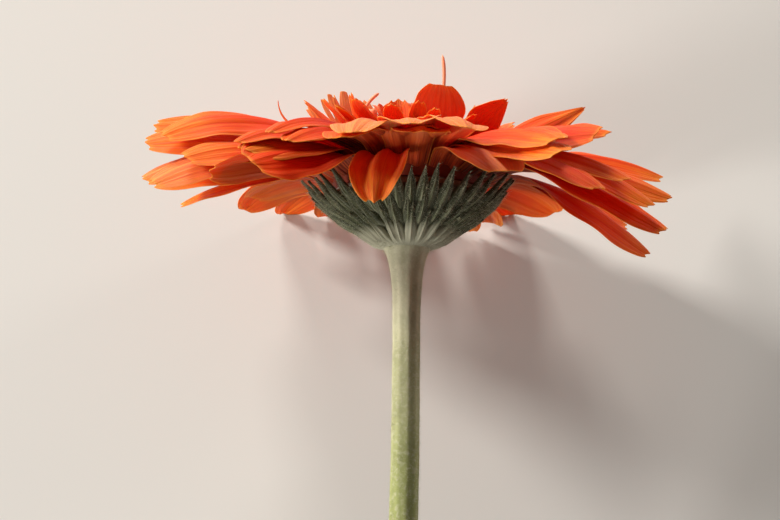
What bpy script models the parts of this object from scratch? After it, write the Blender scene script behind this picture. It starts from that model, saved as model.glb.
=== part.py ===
"""Gerbera daisy: one cut bloom that lies on a flat surface.

Every sub-part is made in the flower's own frame: +Z along the head's axis towards its face, +X to the
right, +Y to the far side, and the origin in the middle of the petal disc. An empty then lays the whole
flower down on its far petals and the cut end of its stem, with +Y the way the bloom faces.
"""

import math
import random
from dataclasses import dataclass, replace

import bmesh
import bpy
import numpy as np
from mathutils import Matrix, Vector

MM = 0.001

# Pose on the surface, metres and degrees
HEAD_CENTRE = (0.0, 0.1081, 0.0485)
HEAD_RISE = 11.0
RISE_SIN = math.sin(math.radians(HEAD_RISE))
RISE_COS = math.cos(math.radians(HEAD_RISE))

# Stem, metres: distances run down the stem from the middle of the petal disc
STEM_TOP = 0.0170
STEM_LENGTH = 0.2450
STEM_RADIUS = 0.0028
STEM_TAPER = 0.0037
NECK_FLARE = 0.0026
NECK_FADE = 0.0042
STEM_SIDES = 12
STEM_RINGS = 22
# The rings lie closer together near the head, where the neck flares
RING_CROWDING = 1.6
CUT_SLANT = 0.6
CUT_EDGE = math.radians(40.0)
STEM_LEAN = -0.0006
STEM_BEND = -0.0120
BEND_START = 0.050

# Involucre: outline of the receptacle cup as (radius, height), metres
CUP_OUTLINE = (
    (0.0052, -0.0167),
    (0.0064, -0.0154),
    (0.0086, -0.0138),
    (0.0112, -0.0124),
    (0.0136, -0.0107),
    (0.0154, -0.0088),
    (0.0163, -0.0072),
    (0.0154, -0.0059),
)
CUP_SIDES = 18
BRACT_SIDES = 3
BRACT_KEEL = 0.0008
LEAST_KEEL = 0.6
BRACT_SINK = 0.0004
# Share of the bract's length, share of its width
BRACT_SHAPE = ((0.0, 0.75), (0.55, 1.0), (1.0, 0.0))

# Seats that the three kinds of floret stand on, turned from (radius, height) outlines, metres
RAY_SEAT = ((0.0150, -0.0055), (0.0164, -0.0030), (0.0162, 0.0022))
TRANS_SEAT = ((0.0136, 0.0025), (0.0136, 0.0048))
DISC_SEAT = ((0.0111, 0.0051), (0.0111, 0.0059), (0.0078, 0.0072), (0.0033, 0.0078))
SEAT_SIDES = 18

# Blades: thickness in metres, the rest as shares of a blade's length or full width
BLADE_THICKNESS = 0.00065
ROOT_WIDTH = 0.50
SWELL_END = 0.62
SWELL_POWER = 0.8
HANDLE = 0.36
ARC_PER_CHORD = 1.08
TOOTH_START = 0.80
SIDE_SETBACK = 0.6
ROOT_ARCH = 0.35
ARCH_END = 0.5
TWIST_START = 0.10
TWIST_END = 0.62
CLAW_END = 0.22
PLEAT_FIRST = 0.15
PLEAT_LAST = 0.85
RAY_ROWS = (0.0, 0.27, 0.54, 0.80, 1.0)
TRANS_ROWS = (0.0, 0.40, 0.75, 1.0)
RAY_COLUMNS = 5
TRANS_COLUMNS = 3

# The ring of petals hangs lower on the right, and every petal is a little unlike the next
SIDE_DROP = 0.0055
SIDE_FALL = 3.0
SIDE_DROOP = 8.0
SIDE_TWIST = 36.0
JITTER_AZIMUTH = 0.10
JITTER_HEIGHT = 0.0010
JITTER_REACH = 0.025
JITTER_TURN = 5.0
JITTER_WIDTH = (0.92, 1.06)
SEED = 11

# A far petal too long for the surface bends back: drop per metre of excess, degrees per metre of excess
PRESS_DROP = 0.9
PRESS_TURN = 7000.0

# Disc florets, metres
FLORET_COUNT = 48
FLORET_FIELD = 0.0101
FLORET_SIZE = 0.00130
FLORET_LEAN = 12.0
FLORET_LENGTH = (0.0042, 0.0060)
FLORET_UNEVEN = 0.06
FLORET_SINK = 0.0004
GOLDEN_ANGLE = 137.508
FLORET_SIDES = 4
# Share of the floret's length, half width as a share of its size
FLORET_SHAPE = ((0.0, 0.50), (0.60, 0.55), (0.92, 1.0))
FILAMENT_SIDES = 3
FILAMENT_RADIUS = 0.0004
FILAMENT_POINT = 0.9
# Filaments: foot and tip in the flower's frame
FILAMENTS = (
    ((0.0050, 0.0036, 0.0060), (0.0076, 0.0058, 0.0255)),
    ((-0.0080, -0.0035, 0.0060), (-0.0064, -0.0020, 0.0142)),
)


@dataclass
class Blade:
    """One petal, from its root in the head to its toothed tip; metres and degrees."""

    azimuth: float
    root: tuple
    tip: tuple
    rise: float
    arrive: float
    width: float
    arch: float = 60.0
    pleat: float = 0.00035
    twist: float = 0.0
    sway: float = 0.0
    taper: float = 0.75
    point: float = 0.36
    sharp: float = 0.5
    tooth: float = 0.0007
    claw: float = 0.0


@dataclass
class Ring:
    """A layer of like blades, evenly spaced round the head, and the ones with a shape of their own."""

    count: int
    first: float
    blade: Blade
    specials: tuple = ()
    far_lift: float = 0.0


def special(like, azimuth, reach, height, rise, arrive, **more):
    """A blade of its own shape: its tip's reach and height in millimetres, angles in degrees."""
    return replace(like, azimuth=azimuth, tip=(reach * MM, height * MM), rise=rise, arrive=arrive, **more)


LOW_RAY = Blade(0, (0.0143, -0.0013), (0.0535, -0.0078), 6.0, -22.0, 0.0120, claw=0.0028)
FOLDED_RAY = replace(LOW_RAY, width=0.0118, arch=8.0, pleat=0.0008, taper=0.50, point=0.14)
LOWER_RAY = Blade(0, (0.0140, -0.0004), (0.0530, -0.0040), 8.0, -20.0, 0.0118, claw=0.0020)
UPPER_RAY = Blade(0, (0.0135, 0.0005), (0.0500, -0.0005), 11.0, -18.0, 0.0114)
TOP_RAY = Blade(0, (0.0130, 0.0014), (0.0440, 0.0030), 15.0, -16.0, 0.0110)
SMALL_RAY = special(
    TOP_RAY, -120.0, 29.2, 6.4, 26.0, 4.0,
    width=0.0074, twist=-30.0, taper=0.30, point=0.08, sharp=1.0, tooth=0.0,
)
RAY_RINGS = (
    Ring(
        14,
        14.0,
        LOW_RAY,
        (
            special(LOW_RAY, 11.0, 52.2, -17.0, 6.0, -40.0, width=0.0128, twist=38.0, point=0.25),
            special(LOW_RAY, 49.0, 50.3, -2.1, 8.0, -18.0, twist=-12.0, point=0.3, tooth=0.0002),
            special(LOW_RAY, 73.0, 49.2, -4.6, 5.0, -26.0, width=0.0090, point=0.3),
            special(LOW_RAY, 91.0, 50.0, -5.5, 4.0, -24.0),
            special(LOW_RAY, 119.5, 57.2, 0.4, 9.0, -16.0, width=0.0112, point=0.3, tooth=0.0002),
            special(
                LOW_RAY, 134.0, 52.2, -1.6, 9.0, -32.0, width=0.0110, twist=10.0, point=0.3, tooth=0.0002
            ),
            special(LOW_RAY, 157.0, 53.3, -4.0, 5.0, -24.0, width=0.0100, twist=-24.0),
            special(LOW_RAY, -165.0, 54.0, -7.0, 7.0, -34.0, twist=-36.0),
            special(LOW_RAY, -153.0, 45.0, -6.0, 4.0, -20.0, width=0.0106, twist=28.0),
            special(LOW_RAY, -135.0, 44.0, -6.6, 3.0, -22.0, width=0.0138, arch=36.0, twist=-46.0),
            special(FOLDED_RAY, -103.0, 30.4, -14.6, 8.0, -102.0),
            special(LOW_RAY, -90.0, 44.5, -2.2, 6.0, -30.0, width=0.0126, arch=-20.0),
            special(LOW_RAY, -62.0, 40.5, -9.6, 8.0, -44.0, width=0.0125, arch=26.0, twist=8.0, point=0.5),
            special(LOW_RAY, -41.0, 49.8, -12.3, 7.0, -38.0, width=0.0104, twist=12.0, point=0.25),
            special(LOW_RAY, -13.0, 53.8, -16.5, 6.0, -36.0, width=0.0112, twist=30.0),
        ),
    ),
    Ring(
        13,
        27.0,
        LOWER_RAY,
        (
            special(LOWER_RAY, 64.0, 56.0, 0.6, 9.0, -12.0),
            special(LOWER_RAY, 88.0, 49.0, -1.0, 9.0, -12.0),
            special(LOWER_RAY, 110.0, 52.5, -0.6, 8.0, -16.0),
            special(LOWER_RAY, 141.3, 44.0, -1.0, 10.0, -20.0),
            special(LOWER_RAY, -173.0, 55.2, -4.6, 10.0, -30.0, twist=-36.0),
            special(LOWER_RAY, -159.0, 48.7, -2.4, 9.0, -24.0, twist=-36.0),
            special(LOWER_RAY, -139.0, 43.0, -3.5, 8.0, -24.0, twist=-30.0),
            special(LOWER_RAY, -104.0, 46.0, -4.0, 4.0, -45.0, arch=24.0),
            special(LOWER_RAY, -76.0, 45.5, -2.9, 6.0, -38.0, width=0.0126, arch=28.0, twist=-8.0),
            special(LOWER_RAY, -27.0, 49.6, -8.2, 10.0, -34.0, width=0.0104, twist=20.0, point=0.25),
            special(LOWER_RAY, -2.0, 54.9, -7.5, 9.0, -26.0, twist=34.0, point=0.25),
        ),
    ),
    Ring(
        12,
        5.0,
        UPPER_RAY,
        (
            special(UPPER_RAY, 10.0, 55.1, -0.5, 12.0, -24.0, twist=32.0),
            special(UPPER_RAY, 174.0, 54.2, 9.9, 16.0, -6.0, twist=-34.0),
            special(UPPER_RAY, -177.0, 54.9, 4.1, 13.0, -16.0, width=0.0126, arch=46.0, twist=-42.0),
            special(UPPER_RAY, -142.0, 43.6, -1.6, 16.0, -34.0, width=0.0102, twist=-18.0, taper=0.5, point=0.14),
            special(UPPER_RAY, -122.0, 45.0, -4.0, 14.0, -32.0, width=0.0106, twist=-16.0, taper=0.5, point=0.14),
            special(UPPER_RAY, -109.0, 41.0, -3.5, 6.0, -34.0, arch=24.0),
            special(UPPER_RAY, -86.0, 40.0, -2.6, 4.0, -26.0, arch=30.0),
            special(UPPER_RAY, -33.0, 45.4, 1.1, 6.0, -8.0, width=0.0125, twist=44.0, taper=0.55),
            special(UPPER_RAY, -17.0, 52.0, -12.0, 12.0, -38.0, width=0.0108, twist=24.0, point=0.25),
        ),
    ),
    Ring(
        10,
        24.0,
        TOP_RAY,
        (
            special(
                TOP_RAY, 37.0, 49.5, 20.0, 25.0, 24.0,
                width=0.0100, twist=40.0, taper=0.45, point=0.06, sharp=1.0,
            ),
            special(TOP_RAY, 165.0, 55.7, 13.0, 22.0, -8.0, twist=-30.0),
            special(TOP_RAY, -170.0, 51.5, 4.2, 34.0, -32.0, width=0.0120, twist=-38.0),
            special(
                TOP_RAY, -128.0, 44.6, -1.6, 20.0, -34.0, width=0.0098, twist=-12.0, taper=0.5, point=0.14
            ),
            SMALL_RAY,
            special(TOP_RAY, -84.0, 36.0, -0.6, 8.0, -22.0),
            special(TOP_RAY, -46.0, 41.5, -2.2, 10.0, -14.0, width=0.0125, twist=44.0),
            special(TOP_RAY, -20.4, 44.0, 3.2, 22.0, -16.0, twist=26.0, point=0.2),
        ),
    ),
)

LOW_TRANS = Blade(
    0, (0.0129, 0.0035), (0.0232, 0.0108), 40.0, 24.0, 0.0042, arch=50.0, pleat=0.0, taper=0.6, tooth=0.0006
)
HIGH_TRANS = Blade(
    0, (0.0123, 0.0039), (0.0166, 0.0132), 70.0, 56.0, 0.0038, arch=60.0, pleat=0.0, taper=0.6, tooth=0.0006
)
TRANS_RINGS = (
    Ring(
        17,
        8.0,
        LOW_TRANS,
        (
            special(
                LOW_TRANS, -30.0, 23.7, 11.3, 44.0, 34.0,
                width=0.0092, arch=20.0, twist=-40.0, taper=0.15, point=0.05, sharp=1.0,
            ),
            special(LOW_TRANS, 170.0, 21.2, 14.3, 48.0, 72.0, width=0.0034, point=0.6, tooth=0.0),
            special(LOW_TRANS, 179.0, 27.3, 14.0, 24.0, 88.0, width=0.0021, arch=30.0, taper=0.3, tooth=0.0),
        ),
        far_lift=0.0030,
    ),
    Ring(
        14,
        20.0,
        HIGH_TRANS,
        (
            special(
                HIGH_TRANS, -64.0, 14.8, 13.9, 80.0, 80.0,
                width=0.0126, arch=34.0, taper=0.42, point=0.4, tooth=0.0001,
            ),
            special(HIGH_TRANS, -98.0, 14.8, 10.6, 78.0, 80.0, width=0.0056, arch=90.0),
            special(HIGH_TRANS, 142.0, 17.0, 18.6, 74.0, 72.0, width=0.0050, arch=80.0, point=0.5, tooth=0.0),
            special(HIGH_TRANS, 153.0, 18.4, 17.4, 72.0, 70.0, width=0.0036, arch=80.0, point=0.6, tooth=0.0),
            special(HIGH_TRANS, 164.0, 18.6, 15.4, 70.0, 68.0, width=0.0036, arch=80.0, point=0.6, tooth=0.0),
        ),
        far_lift=0.0034,
    ),
)

# Bract rows: count, first azimuth, root, knee and tip as (radius, height), width
BRACT_ROWS = (
    (12, 5.0, (0.0053, -0.0163), (0.0098, -0.0144), (0.0156, -0.0110), 0.0026),
    (15, 17.0, (0.0066, -0.0150), (0.0146, -0.0126), (0.0197, -0.0073), 0.0030),
    (20, 9.0, (0.0092, -0.0132), (0.0186, -0.0098), (0.0221, -0.0039), 0.0037),
)


def material(name, colour, roughness):
    """A Principled material with the given base colour and roughness."""
    made = bpy.data.materials.new(name)
    made.use_nodes = True
    shader = made.node_tree.nodes["Principled BSDF"]
    shader.inputs["Base Color"].default_value = (*colour, 1.0)
    shader.inputs["Roughness"].default_value = roughness
    shader.inputs["Metallic"].default_value = 0.0
    return made


def mesh_object(name, points, faces):
    """An object, not yet in any collection, from points and faces."""
    mesh = bpy.data.meshes.new(name)
    mesh.from_pydata([tuple(p) for p in points], [], [tuple(f) for f in faces])
    return bpy.data.objects.new(name, mesh)


def turned_solid(name, outline, sides):
    """A solid of revolution about Z from (radius, height) pairs that run upwards."""
    points = []
    faces = []
    for radius, height in outline:
        for k in range(sides):
            angle = 2 * math.pi * k / sides
            points.append((radius * math.cos(angle), radius * math.sin(angle), height))
    for ring in range(len(outline) - 1):
        low = ring * sides
        for k in range(sides):
            after = (k + 1) % sides
            faces.append((low + k, low + after, low + sides + after, low + sides + k))
    top = (len(outline) - 1) * sides
    faces.append(tuple(reversed(range(sides))))
    faces.append(tuple(range(top, top + sides)))
    return mesh_object(name, points, faces)


def blade_width(blade, along):
    """Full width of a blade at a share of its length."""
    swell = math.sin(0.5 * math.pi * min(1.0, along / SWELL_END)) ** SWELL_POWER
    width = ROOT_WIDTH + (1.0 - ROOT_WIDTH) * swell
    if along > blade.taper:
        end = (along - blade.taper) / (1.0 - blade.taper)
        width *= (1.0 - (1.0 - blade.point ** (1.0 / blade.sharp)) * end * end) ** blade.sharp
    return blade.width * width


def blade_centre(blade, along):
    """Centreline point and unit tangent of a blade, as (outward, sideways, up)."""
    chord = math.dist(blade.root, blade.tip)
    rise = math.radians(blade.rise)
    arrive = math.radians(blade.arrive)
    p0 = np.array(blade.root)
    p3 = np.array(blade.tip)
    p1 = p0 + HANDLE * chord * np.array((math.cos(rise), math.sin(rise)))
    p2 = p3 - HANDLE * chord * np.array((math.cos(arrive), math.sin(arrive)))
    back = 1.0 - along
    place = back**3 * p0 + 3 * back**2 * along * p1 + 3 * back * along**2 * p2 + along**3 * p3
    pace = 3 * (back**2 * (p1 - p0) + 2 * back * along * (p2 - p1) + along**2 * (p3 - p2))
    share = min(1.0, max(0.0, along / CLAW_END))
    dip = blade.claw * (1.0 - share * share * (3.0 - 2.0 * share))
    climb = blade.claw * 6.0 * share * (1.0 - share) / CLAW_END
    point = np.array((place[0], blade.sway * along**2, place[1] - dip))
    tangent = np.array((pace[0], 2 * blade.sway * along, pace[1] + climb))
    return point, tangent / np.linalg.norm(tangent)


def blade_pair(blade, along, across):
    """The upper and lower surface points of a blade, in the flower's frame."""
    notch = math.sin(math.pi * across) ** 2 + SIDE_SETBACK * across * across
    late = max(0.0, (along - TOOTH_START) / (1.0 - TOOTH_START))
    length = ARC_PER_CHORD * math.dist(blade.root, blade.tip)
    along = along - late * notch * blade.tooth / length
    centre, tangent = blade_centre(blade, along)
    side = np.array((0.0, 1.0, 0.0)) - tangent[1] * tangent
    side /= np.linalg.norm(side)
    normal = np.cross(tangent, side)
    onset = min(1.0, max(0.0, (along - TWIST_START) / (TWIST_END - TWIST_START)))
    twist = math.radians(blade.twist) * onset * onset * (3.0 - 2.0 * onset)
    side, normal = (
        side * math.cos(twist) + normal * math.sin(twist),
        normal * math.cos(twist) - side * math.sin(twist),
    )
    half = 0.5 * blade_width(blade, along)
    bend = math.radians(blade.arch) * (ROOT_ARCH + (1.0 - ROOT_ARCH) * min(1.0, along / ARCH_END))
    turn = 0.5 * bend * across
    reach = half * across * np.sinc(turn / math.pi)
    fall = half * (1.0 - math.cos(turn)) / (0.5 * bend)
    depth = math.sin(math.pi * (PLEAT_FIRST + (PLEAT_LAST - PLEAT_FIRST) * along))
    groove = blade.pleat * depth * math.cos(2 * math.pi * across)
    middle = centre + side * reach + normal * (groove - fall)
    outward = normal * math.cos(turn) + side * math.sin(turn)
    azimuth = math.radians(blade.azimuth)
    spin = np.array(
        (
            (math.cos(azimuth), -math.sin(azimuth), 0.0),
            (math.sin(azimuth), math.cos(azimuth), 0.0),
            (0.0, 0.0, 1.0),
        )
    )
    half_thick = 0.5 * BLADE_THICKNESS
    return spin @ (middle + outward * half_thick), spin @ (middle - outward * half_thick)


def height_on_surface(point):
    """Height of a point of the flower's frame above the surface that the flower lies on."""
    return HEAD_CENTRE[2] - point[1] * RISE_COS + point[2] * RISE_SIN


def pressed(pair):
    """A pair of surface points, lifted together where the flower's weight presses them flat."""
    sunk = -min(height_on_surface(point) for point in pair)
    lift = max(0.0, sunk) * np.array((0.0, -RISE_COS, RISE_SIN))
    return [point + lift for point in pair]


def laid(blade):
    """A far blade shortened to the surface: its tip bends back under the head's weight."""
    up = math.sin(math.radians(blade.azimuth))
    if up <= 0.0:
        return blade
    limit = (HEAD_CENTRE[2] + blade.tip[1] * RISE_SIN) / RISE_COS / up
    excess = blade.tip[0] - limit
    if excess <= 0.0:
        return blade
    height = blade.tip[1] - PRESS_DROP * excess
    limit = (HEAD_CENTRE[2] + height * RISE_SIN) / RISE_COS / up
    return replace(blade, tip=(limit, height), arrive=blade.arrive - PRESS_TURN * excess)


def blade_object(name, blade, rows, columns):
    """A closed solid blade, its two faces split into triangles alike."""
    upper = []
    lower = []
    for along in rows:
        for k in range(columns):
            across = 2.0 * k / (columns - 1) - 1.0
            over, under = pressed(blade_pair(blade, along, across))
            upper.append(over)
            lower.append(under)
    below = len(upper)
    faces = []
    for row in range(len(rows) - 1):
        for k in range(columns - 1):
            a = row * columns + k
            b = a + 1
            c = b + columns
            d = a + columns
            if k < (columns - 1) / 2:
                split = ((a, c, b), (a, d, c))
            else:
                split = ((a, d, b), (b, d, c))
            for face in split:
                faces.append(face)
                faces.append(tuple(below + v for v in reversed(face)))
    last = (len(rows) - 1) * columns
    for row in range(len(rows) - 1):
        left = row * columns
        right = left + columns - 1
        faces.append((left, below + left, below + left + columns, left + columns))
        faces.append((right, right + columns, below + right + columns, below + right))
    for k in range(columns - 1):
        faces.append((k, k + 1, below + k + 1, below + k))
        faces.append((last + k, below + last + k, below + last + k + 1, last + k + 1))
    return mesh_object(name, upper + lower, faces)


def ring_blades(ring, draw):
    """The blades of a ring, each varied a little; a special blade takes the place nearest to it."""
    pitch = 360.0 / ring.count
    blades = list(ring.specials)
    for k in range(ring.count):
        azimuth = ring.first + pitch * (k + draw.uniform(-JITTER_AZIMUTH, JITTER_AZIMUTH))
        right = math.cos(math.radians(azimuth))
        reach = ring.blade.tip[0] * (1.0 + draw.uniform(-JITTER_REACH, JITTER_REACH))
        drop = SIDE_DROP * right * reach / LOW_RAY.tip[0]
        drop -= ring.far_lift * math.sin(math.radians(azimuth))
        varied = replace(
            ring.blade,
            azimuth=azimuth,
            tip=(reach, ring.blade.tip[1] - drop + draw.uniform(-JITTER_HEIGHT, JITTER_HEIGHT)),
            rise=ring.blade.rise - SIDE_FALL * right,
            arrive=ring.blade.arrive - SIDE_DROOP * right + draw.uniform(-JITTER_TURN, JITTER_TURN),
            twist=SIDE_TWIST * right + draw.uniform(-JITTER_TURN, JITTER_TURN),
            width=ring.blade.width * draw.uniform(*JITTER_WIDTH),
        )
        gaps = [abs((azimuth - taken.azimuth + 180.0) % 360.0 - 180.0) for taken in ring.specials]
        if min(gaps, default=360.0) > 0.5 * pitch:
            blades.append(varied)
    return [laid(blade) for blade in blades]


def bract_object(name, azimuth, root, knee, tip, width):
    """A lance-shaped bract with a raised keel along its outer side."""
    points = []
    for along, share in BRACT_SHAPE:
        back = 1.0 - along
        radius, height = (
            back**2 * a + 2 * back * along * b + along**2 * c for a, b, c in zip(root, knee, tip)
        )
        pace = [2 * back * (b - a) + 2 * along * (c - b) for a, b, c in zip(root, knee, tip)]
        size = math.hypot(*pace)
        out, down = pace[1] / size, -pace[0] / size
        if share == 0.0:
            points.append((radius, 0.0, height))
            continue
        half = 0.5 * width * share
        keel = BRACT_KEEL * (LEAST_KEEL + (1.0 - LEAST_KEEL) * share)
        inner = (radius - out * BRACT_SINK, height - down * BRACT_SINK)
        points.append((inner[0], -half, inner[1]))
        points.append((radius + out * keel, 0.0, height + down * keel))
        points.append((inner[0], half, inner[1]))
    faces = [(0, 2, 1)]
    for k in range(BRACT_SIDES):
        after = (k + 1) % BRACT_SIDES
        faces.append((k, after, BRACT_SIDES + after))
        faces.append((k, BRACT_SIDES + after, BRACT_SIDES + k))
        faces.append((BRACT_SIDES + k, BRACT_SIDES + after, 2 * BRACT_SIDES))
    turn = math.radians(azimuth)
    spun = [
        (x * math.cos(turn) - y * math.sin(turn), x * math.sin(turn) + y * math.cos(turn), z)
        for x, y, z in points
    ]
    return mesh_object(name, spun, faces)


def floret_object(name, foot, lean, azimuth, length, size):
    """A tubular disc floret: a four-sided tube that flares to a low pointed mouth."""
    axis = np.array(
        (
            math.sin(lean) * math.cos(azimuth),
            math.sin(lean) * math.sin(azimuth),
            math.cos(lean),
        )
    )
    side = np.array((-math.sin(azimuth), math.cos(azimuth), 0.0))
    front = np.cross(side, axis)
    points = []
    for along, half in FLORET_SHAPE:
        for k in range(FLORET_SIDES):
            angle = 2 * math.pi * k / FLORET_SIDES
            points.append(
                foot
                + axis * length * along
                + (side * math.cos(angle) - front * math.sin(angle)) * half * size
            )
    points.append(foot + axis * length)
    faces = [tuple(reversed(range(FLORET_SIDES)))]
    for ring in (0, FLORET_SIDES):
        for k in range(FLORET_SIDES):
            after = (k + 1) % FLORET_SIDES
            faces.append((ring + k, ring + after, ring + FLORET_SIDES + after, ring + FLORET_SIDES + k))
    mouth = 2 * FLORET_SIDES
    for k in range(FLORET_SIDES):
        faces.append((mouth + k, mouth + (k + 1) % FLORET_SIDES, mouth + FLORET_SIDES))
    return mesh_object(name, points, faces)


def filament_object(name, foot, tip):
    """A thin three-sided filament that narrows to its tip."""
    axis = Vector(tip) - Vector(foot)
    turn = axis.to_track_quat("Z", "Y").to_matrix()
    points = []
    for along, radius in ((0.0, FILAMENT_RADIUS), (FILAMENT_POINT, FILAMENT_POINT * FILAMENT_RADIUS)):
        for k in range(FILAMENT_SIDES):
            angle = 2 * math.pi * k / FILAMENT_SIDES
            spoke = Vector((radius * math.cos(angle), radius * math.sin(angle), axis.length * along))
            points.append(Vector(foot) + turn @ spoke)
    points.append(Vector(tip))
    faces = [tuple(reversed(range(FILAMENT_SIDES)))]
    for k in range(FILAMENT_SIDES):
        after = (k + 1) % FILAMENT_SIDES
        faces.append((k, after, FILAMENT_SIDES + after, FILAMENT_SIDES + k))
        faces.append((FILAMENT_SIDES + k, FILAMENT_SIDES + after, 2 * FILAMENT_SIDES))
    return mesh_object(name, points, faces)


def fused(core, pieces):
    """The core with every piece joined to it by one union; its sealed hollows and loose scraps go."""
    scene = bpy.context.scene.collection
    gathered = bpy.data.collections.new(core.name + "_pieces")
    scene.children.link(gathered)
    scene.objects.link(core)
    for piece in pieces:
        gathered.objects.link(piece)
    union = core.modifiers.new("Union", "BOOLEAN")
    union.operation = "UNION"
    union.operand_type = "COLLECTION"
    union.collection = gathered
    union.solver = "MANIFOLD"
    bpy.context.view_layer.update()
    graph = bpy.context.evaluated_depsgraph_get()
    joined = bpy.data.meshes.new_from_object(core.evaluated_get(graph))
    core.modifiers.remove(union)
    core.data = joined
    for piece in pieces:
        bpy.data.objects.remove(piece)
    bpy.data.collections.remove(gathered)
    keep_main_body(core)
    return core


def turned_pair(edge, faces):
    """The two triangles that fill the same outline as two faces on an edge, split the other way."""
    start, end = edge.verts
    first, second = faces
    corners = [vert for vert in first.verts if vert not in edge.verts]
    corners += [vert for vert in second.verts if vert not in edge.verts]
    over, under = corners
    loop = next(loop for loop in first.loops if loop.vert is start)
    if loop.link_loop_next.vert is not end:
        over, under = under, over
    return (over, start, under), (under, end, over)


def turned_area(edge, faces):
    """The smaller area of the two turned triangles, negative where one would fold over."""
    facing = sum((face.normal * face.calc_area() for face in faces), Vector())
    crosses = [(b.co - a.co).cross(c.co - a.co) for a, b, c in turned_pair(edge, faces)]
    return min(cross.dot(facing.normalized()) for cross in crosses)


def turn_shared_diagonals(mesh, sources):
    """Where two faces were both split between the same two corners, one of them is split the other way."""
    for edge in [edge for edge in mesh.edges if len(edge.link_faces) > 2]:
        groups = {}
        for face in edge.link_faces:
            groups.setdefault(sources.get(face, face), []).append(face)
        halves = [faces for faces in groups.values() if len(faces) == 2]
        faces = max(halves, key=lambda pair: turned_area(edge, pair))
        fresh = turned_pair(edge, faces)
        for face in faces:
            mesh.faces.remove(face)
        for corners in fresh:
            mesh.faces.new(corners)


def keep_main_body(obj):
    """Splits the faces into triangles and deletes all but those of the largest connected shell."""
    mesh = bmesh.new()
    mesh.from_mesh(obj.data)
    sources = bmesh.ops.triangulate(mesh, faces=mesh.faces[:])["face_map"]
    turn_shared_diagonals(mesh, sources)
    shells = []
    seen = set()
    for start in mesh.verts:
        if start in seen:
            continue
        shell = {start}
        edge = [start]
        while edge:
            for link in edge.pop().link_edges:
                for vert in link.verts:
                    if vert not in shell:
                        shell.add(vert)
                        edge.append(vert)
        seen |= shell
        shells.append(shell)
    shells.sort(key=len)
    for shell in shells[:-1]:
        bmesh.ops.delete(mesh, geom=list(shell), context="VERTS")
    mesh.to_mesh(obj.data)
    mesh.free()


def make_stem():
    """The scape: a slim stalk that widens to the neck and ends in a slanting cut."""
    end_radius = STEM_RADIUS + STEM_TAPER * (STEM_LENGTH - STEM_TOP)
    lowest = (HEAD_CENTRE[2] - (STEM_LENGTH + CUT_SLANT * end_radius) * RISE_SIN) / RISE_COS
    end_drop = lowest - end_radius
    points = []
    for ring in range(STEM_RINGS):
        share = ring / (STEM_RINGS - 1)
        down = STEM_TOP + (STEM_LENGTH - STEM_TOP) * share**RING_CROWDING
        radius = STEM_RADIUS + STEM_TAPER * (down - STEM_TOP)
        radius += NECK_FLARE * math.exp((STEM_TOP - down) / NECK_FADE)
        past = min(1.0, max(0.0, (down - BEND_START) / (STEM_LENGTH - BEND_START)))
        x = STEM_LEAN * min(1.0, down / BEND_START) + STEM_BEND * 0.5 * (1.0 - math.cos(math.pi * past))
        y = end_drop * (down / STEM_LENGTH) ** 2
        for k in range(STEM_SIDES):
            angle = 2 * math.pi * k / STEM_SIDES
            slant = CUT_SLANT * radius * math.sin(angle) if ring == STEM_RINGS - 1 else 0.0
            points.append((x + radius * math.cos(angle), y + radius * math.sin(angle), -down - slant))
    faces = [tuple(range(STEM_SIDES))]
    for ring in range(STEM_RINGS - 1):
        low = ring * STEM_SIDES
        for k in range(STEM_SIDES):
            after = (k + 1) % STEM_SIDES
            faces.append((low + k, low + STEM_SIDES + k, low + STEM_SIDES + after, low + after))
    end = (STEM_RINGS - 1) * STEM_SIDES
    faces.append(tuple(reversed(range(end, end + STEM_SIDES))))
    stem = mesh_object("stem", points, faces)
    bpy.context.scene.collection.objects.link(stem)
    stem.data.shade_smooth()
    stem.data.set_sharp_from_angle(angle=CUT_EDGE)
    return stem


def make_involucre():
    """The receptacle cup with its rows of overlapping bracts."""
    bracts = []
    for count, first, root, knee, tip, width in BRACT_ROWS:
        for k in range(count):
            azimuth = first + 360.0 * k / count
            bracts.append(bract_object("bract", azimuth, root, knee, tip, width))
    return fused(turned_solid("involucre", CUP_OUTLINE, CUP_SIDES), bracts)


def make_ray_florets(draw):
    """The long strap petals in their layers, on a shared seat."""
    seat = turned_solid("ray_florets", RAY_SEAT, SEAT_SIDES)
    blades = [blade for ring in RAY_RINGS for blade in ring_blades(ring, draw)]
    return fused(seat, [blade_object("ray", blade, RAY_ROWS, RAY_COLUMNS) for blade in blades])


def make_trans_florets(draw):
    """The short upright petals between the rays and the disc."""
    seat = turned_solid("trans_florets", TRANS_SEAT, SEAT_SIDES)
    blades = [blade for ring in TRANS_RINGS for blade in ring_blades(ring, draw)]
    return fused(seat, [blade_object("trans", blade, TRANS_ROWS, TRANS_COLUMNS) for blade in blades])


def make_disc_florets(draw):
    """The dense middle of small tubular florets, spaced by the golden angle on a low dome."""
    seat = turned_solid("disc_florets", DISC_SEAT, SEAT_SIDES)
    height = DISC_SEAT[0][1] + FLORET_SINK
    florets = []
    for k in range(FLORET_COUNT):
        share = math.sqrt((k + 0.5) / FLORET_COUNT)
        azimuth = math.radians(GOLDEN_ANGLE * k)
        out = FLORET_FIELD * share
        foot = np.array((out * math.cos(azimuth), out * math.sin(azimuth), height))
        lean = math.radians(FLORET_LEAN) * share
        short, tall = FLORET_LENGTH
        length = (short + (tall - short) * share) * draw.uniform(1 - FLORET_UNEVEN, 1 + FLORET_UNEVEN)
        florets.append(floret_object("floret", foot, lean, azimuth, length, FLORET_SIZE))
    filaments = [filament_object("filament", foot, tip) for foot, tip in FILAMENTS]
    return fused(seat, florets + filaments)


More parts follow.
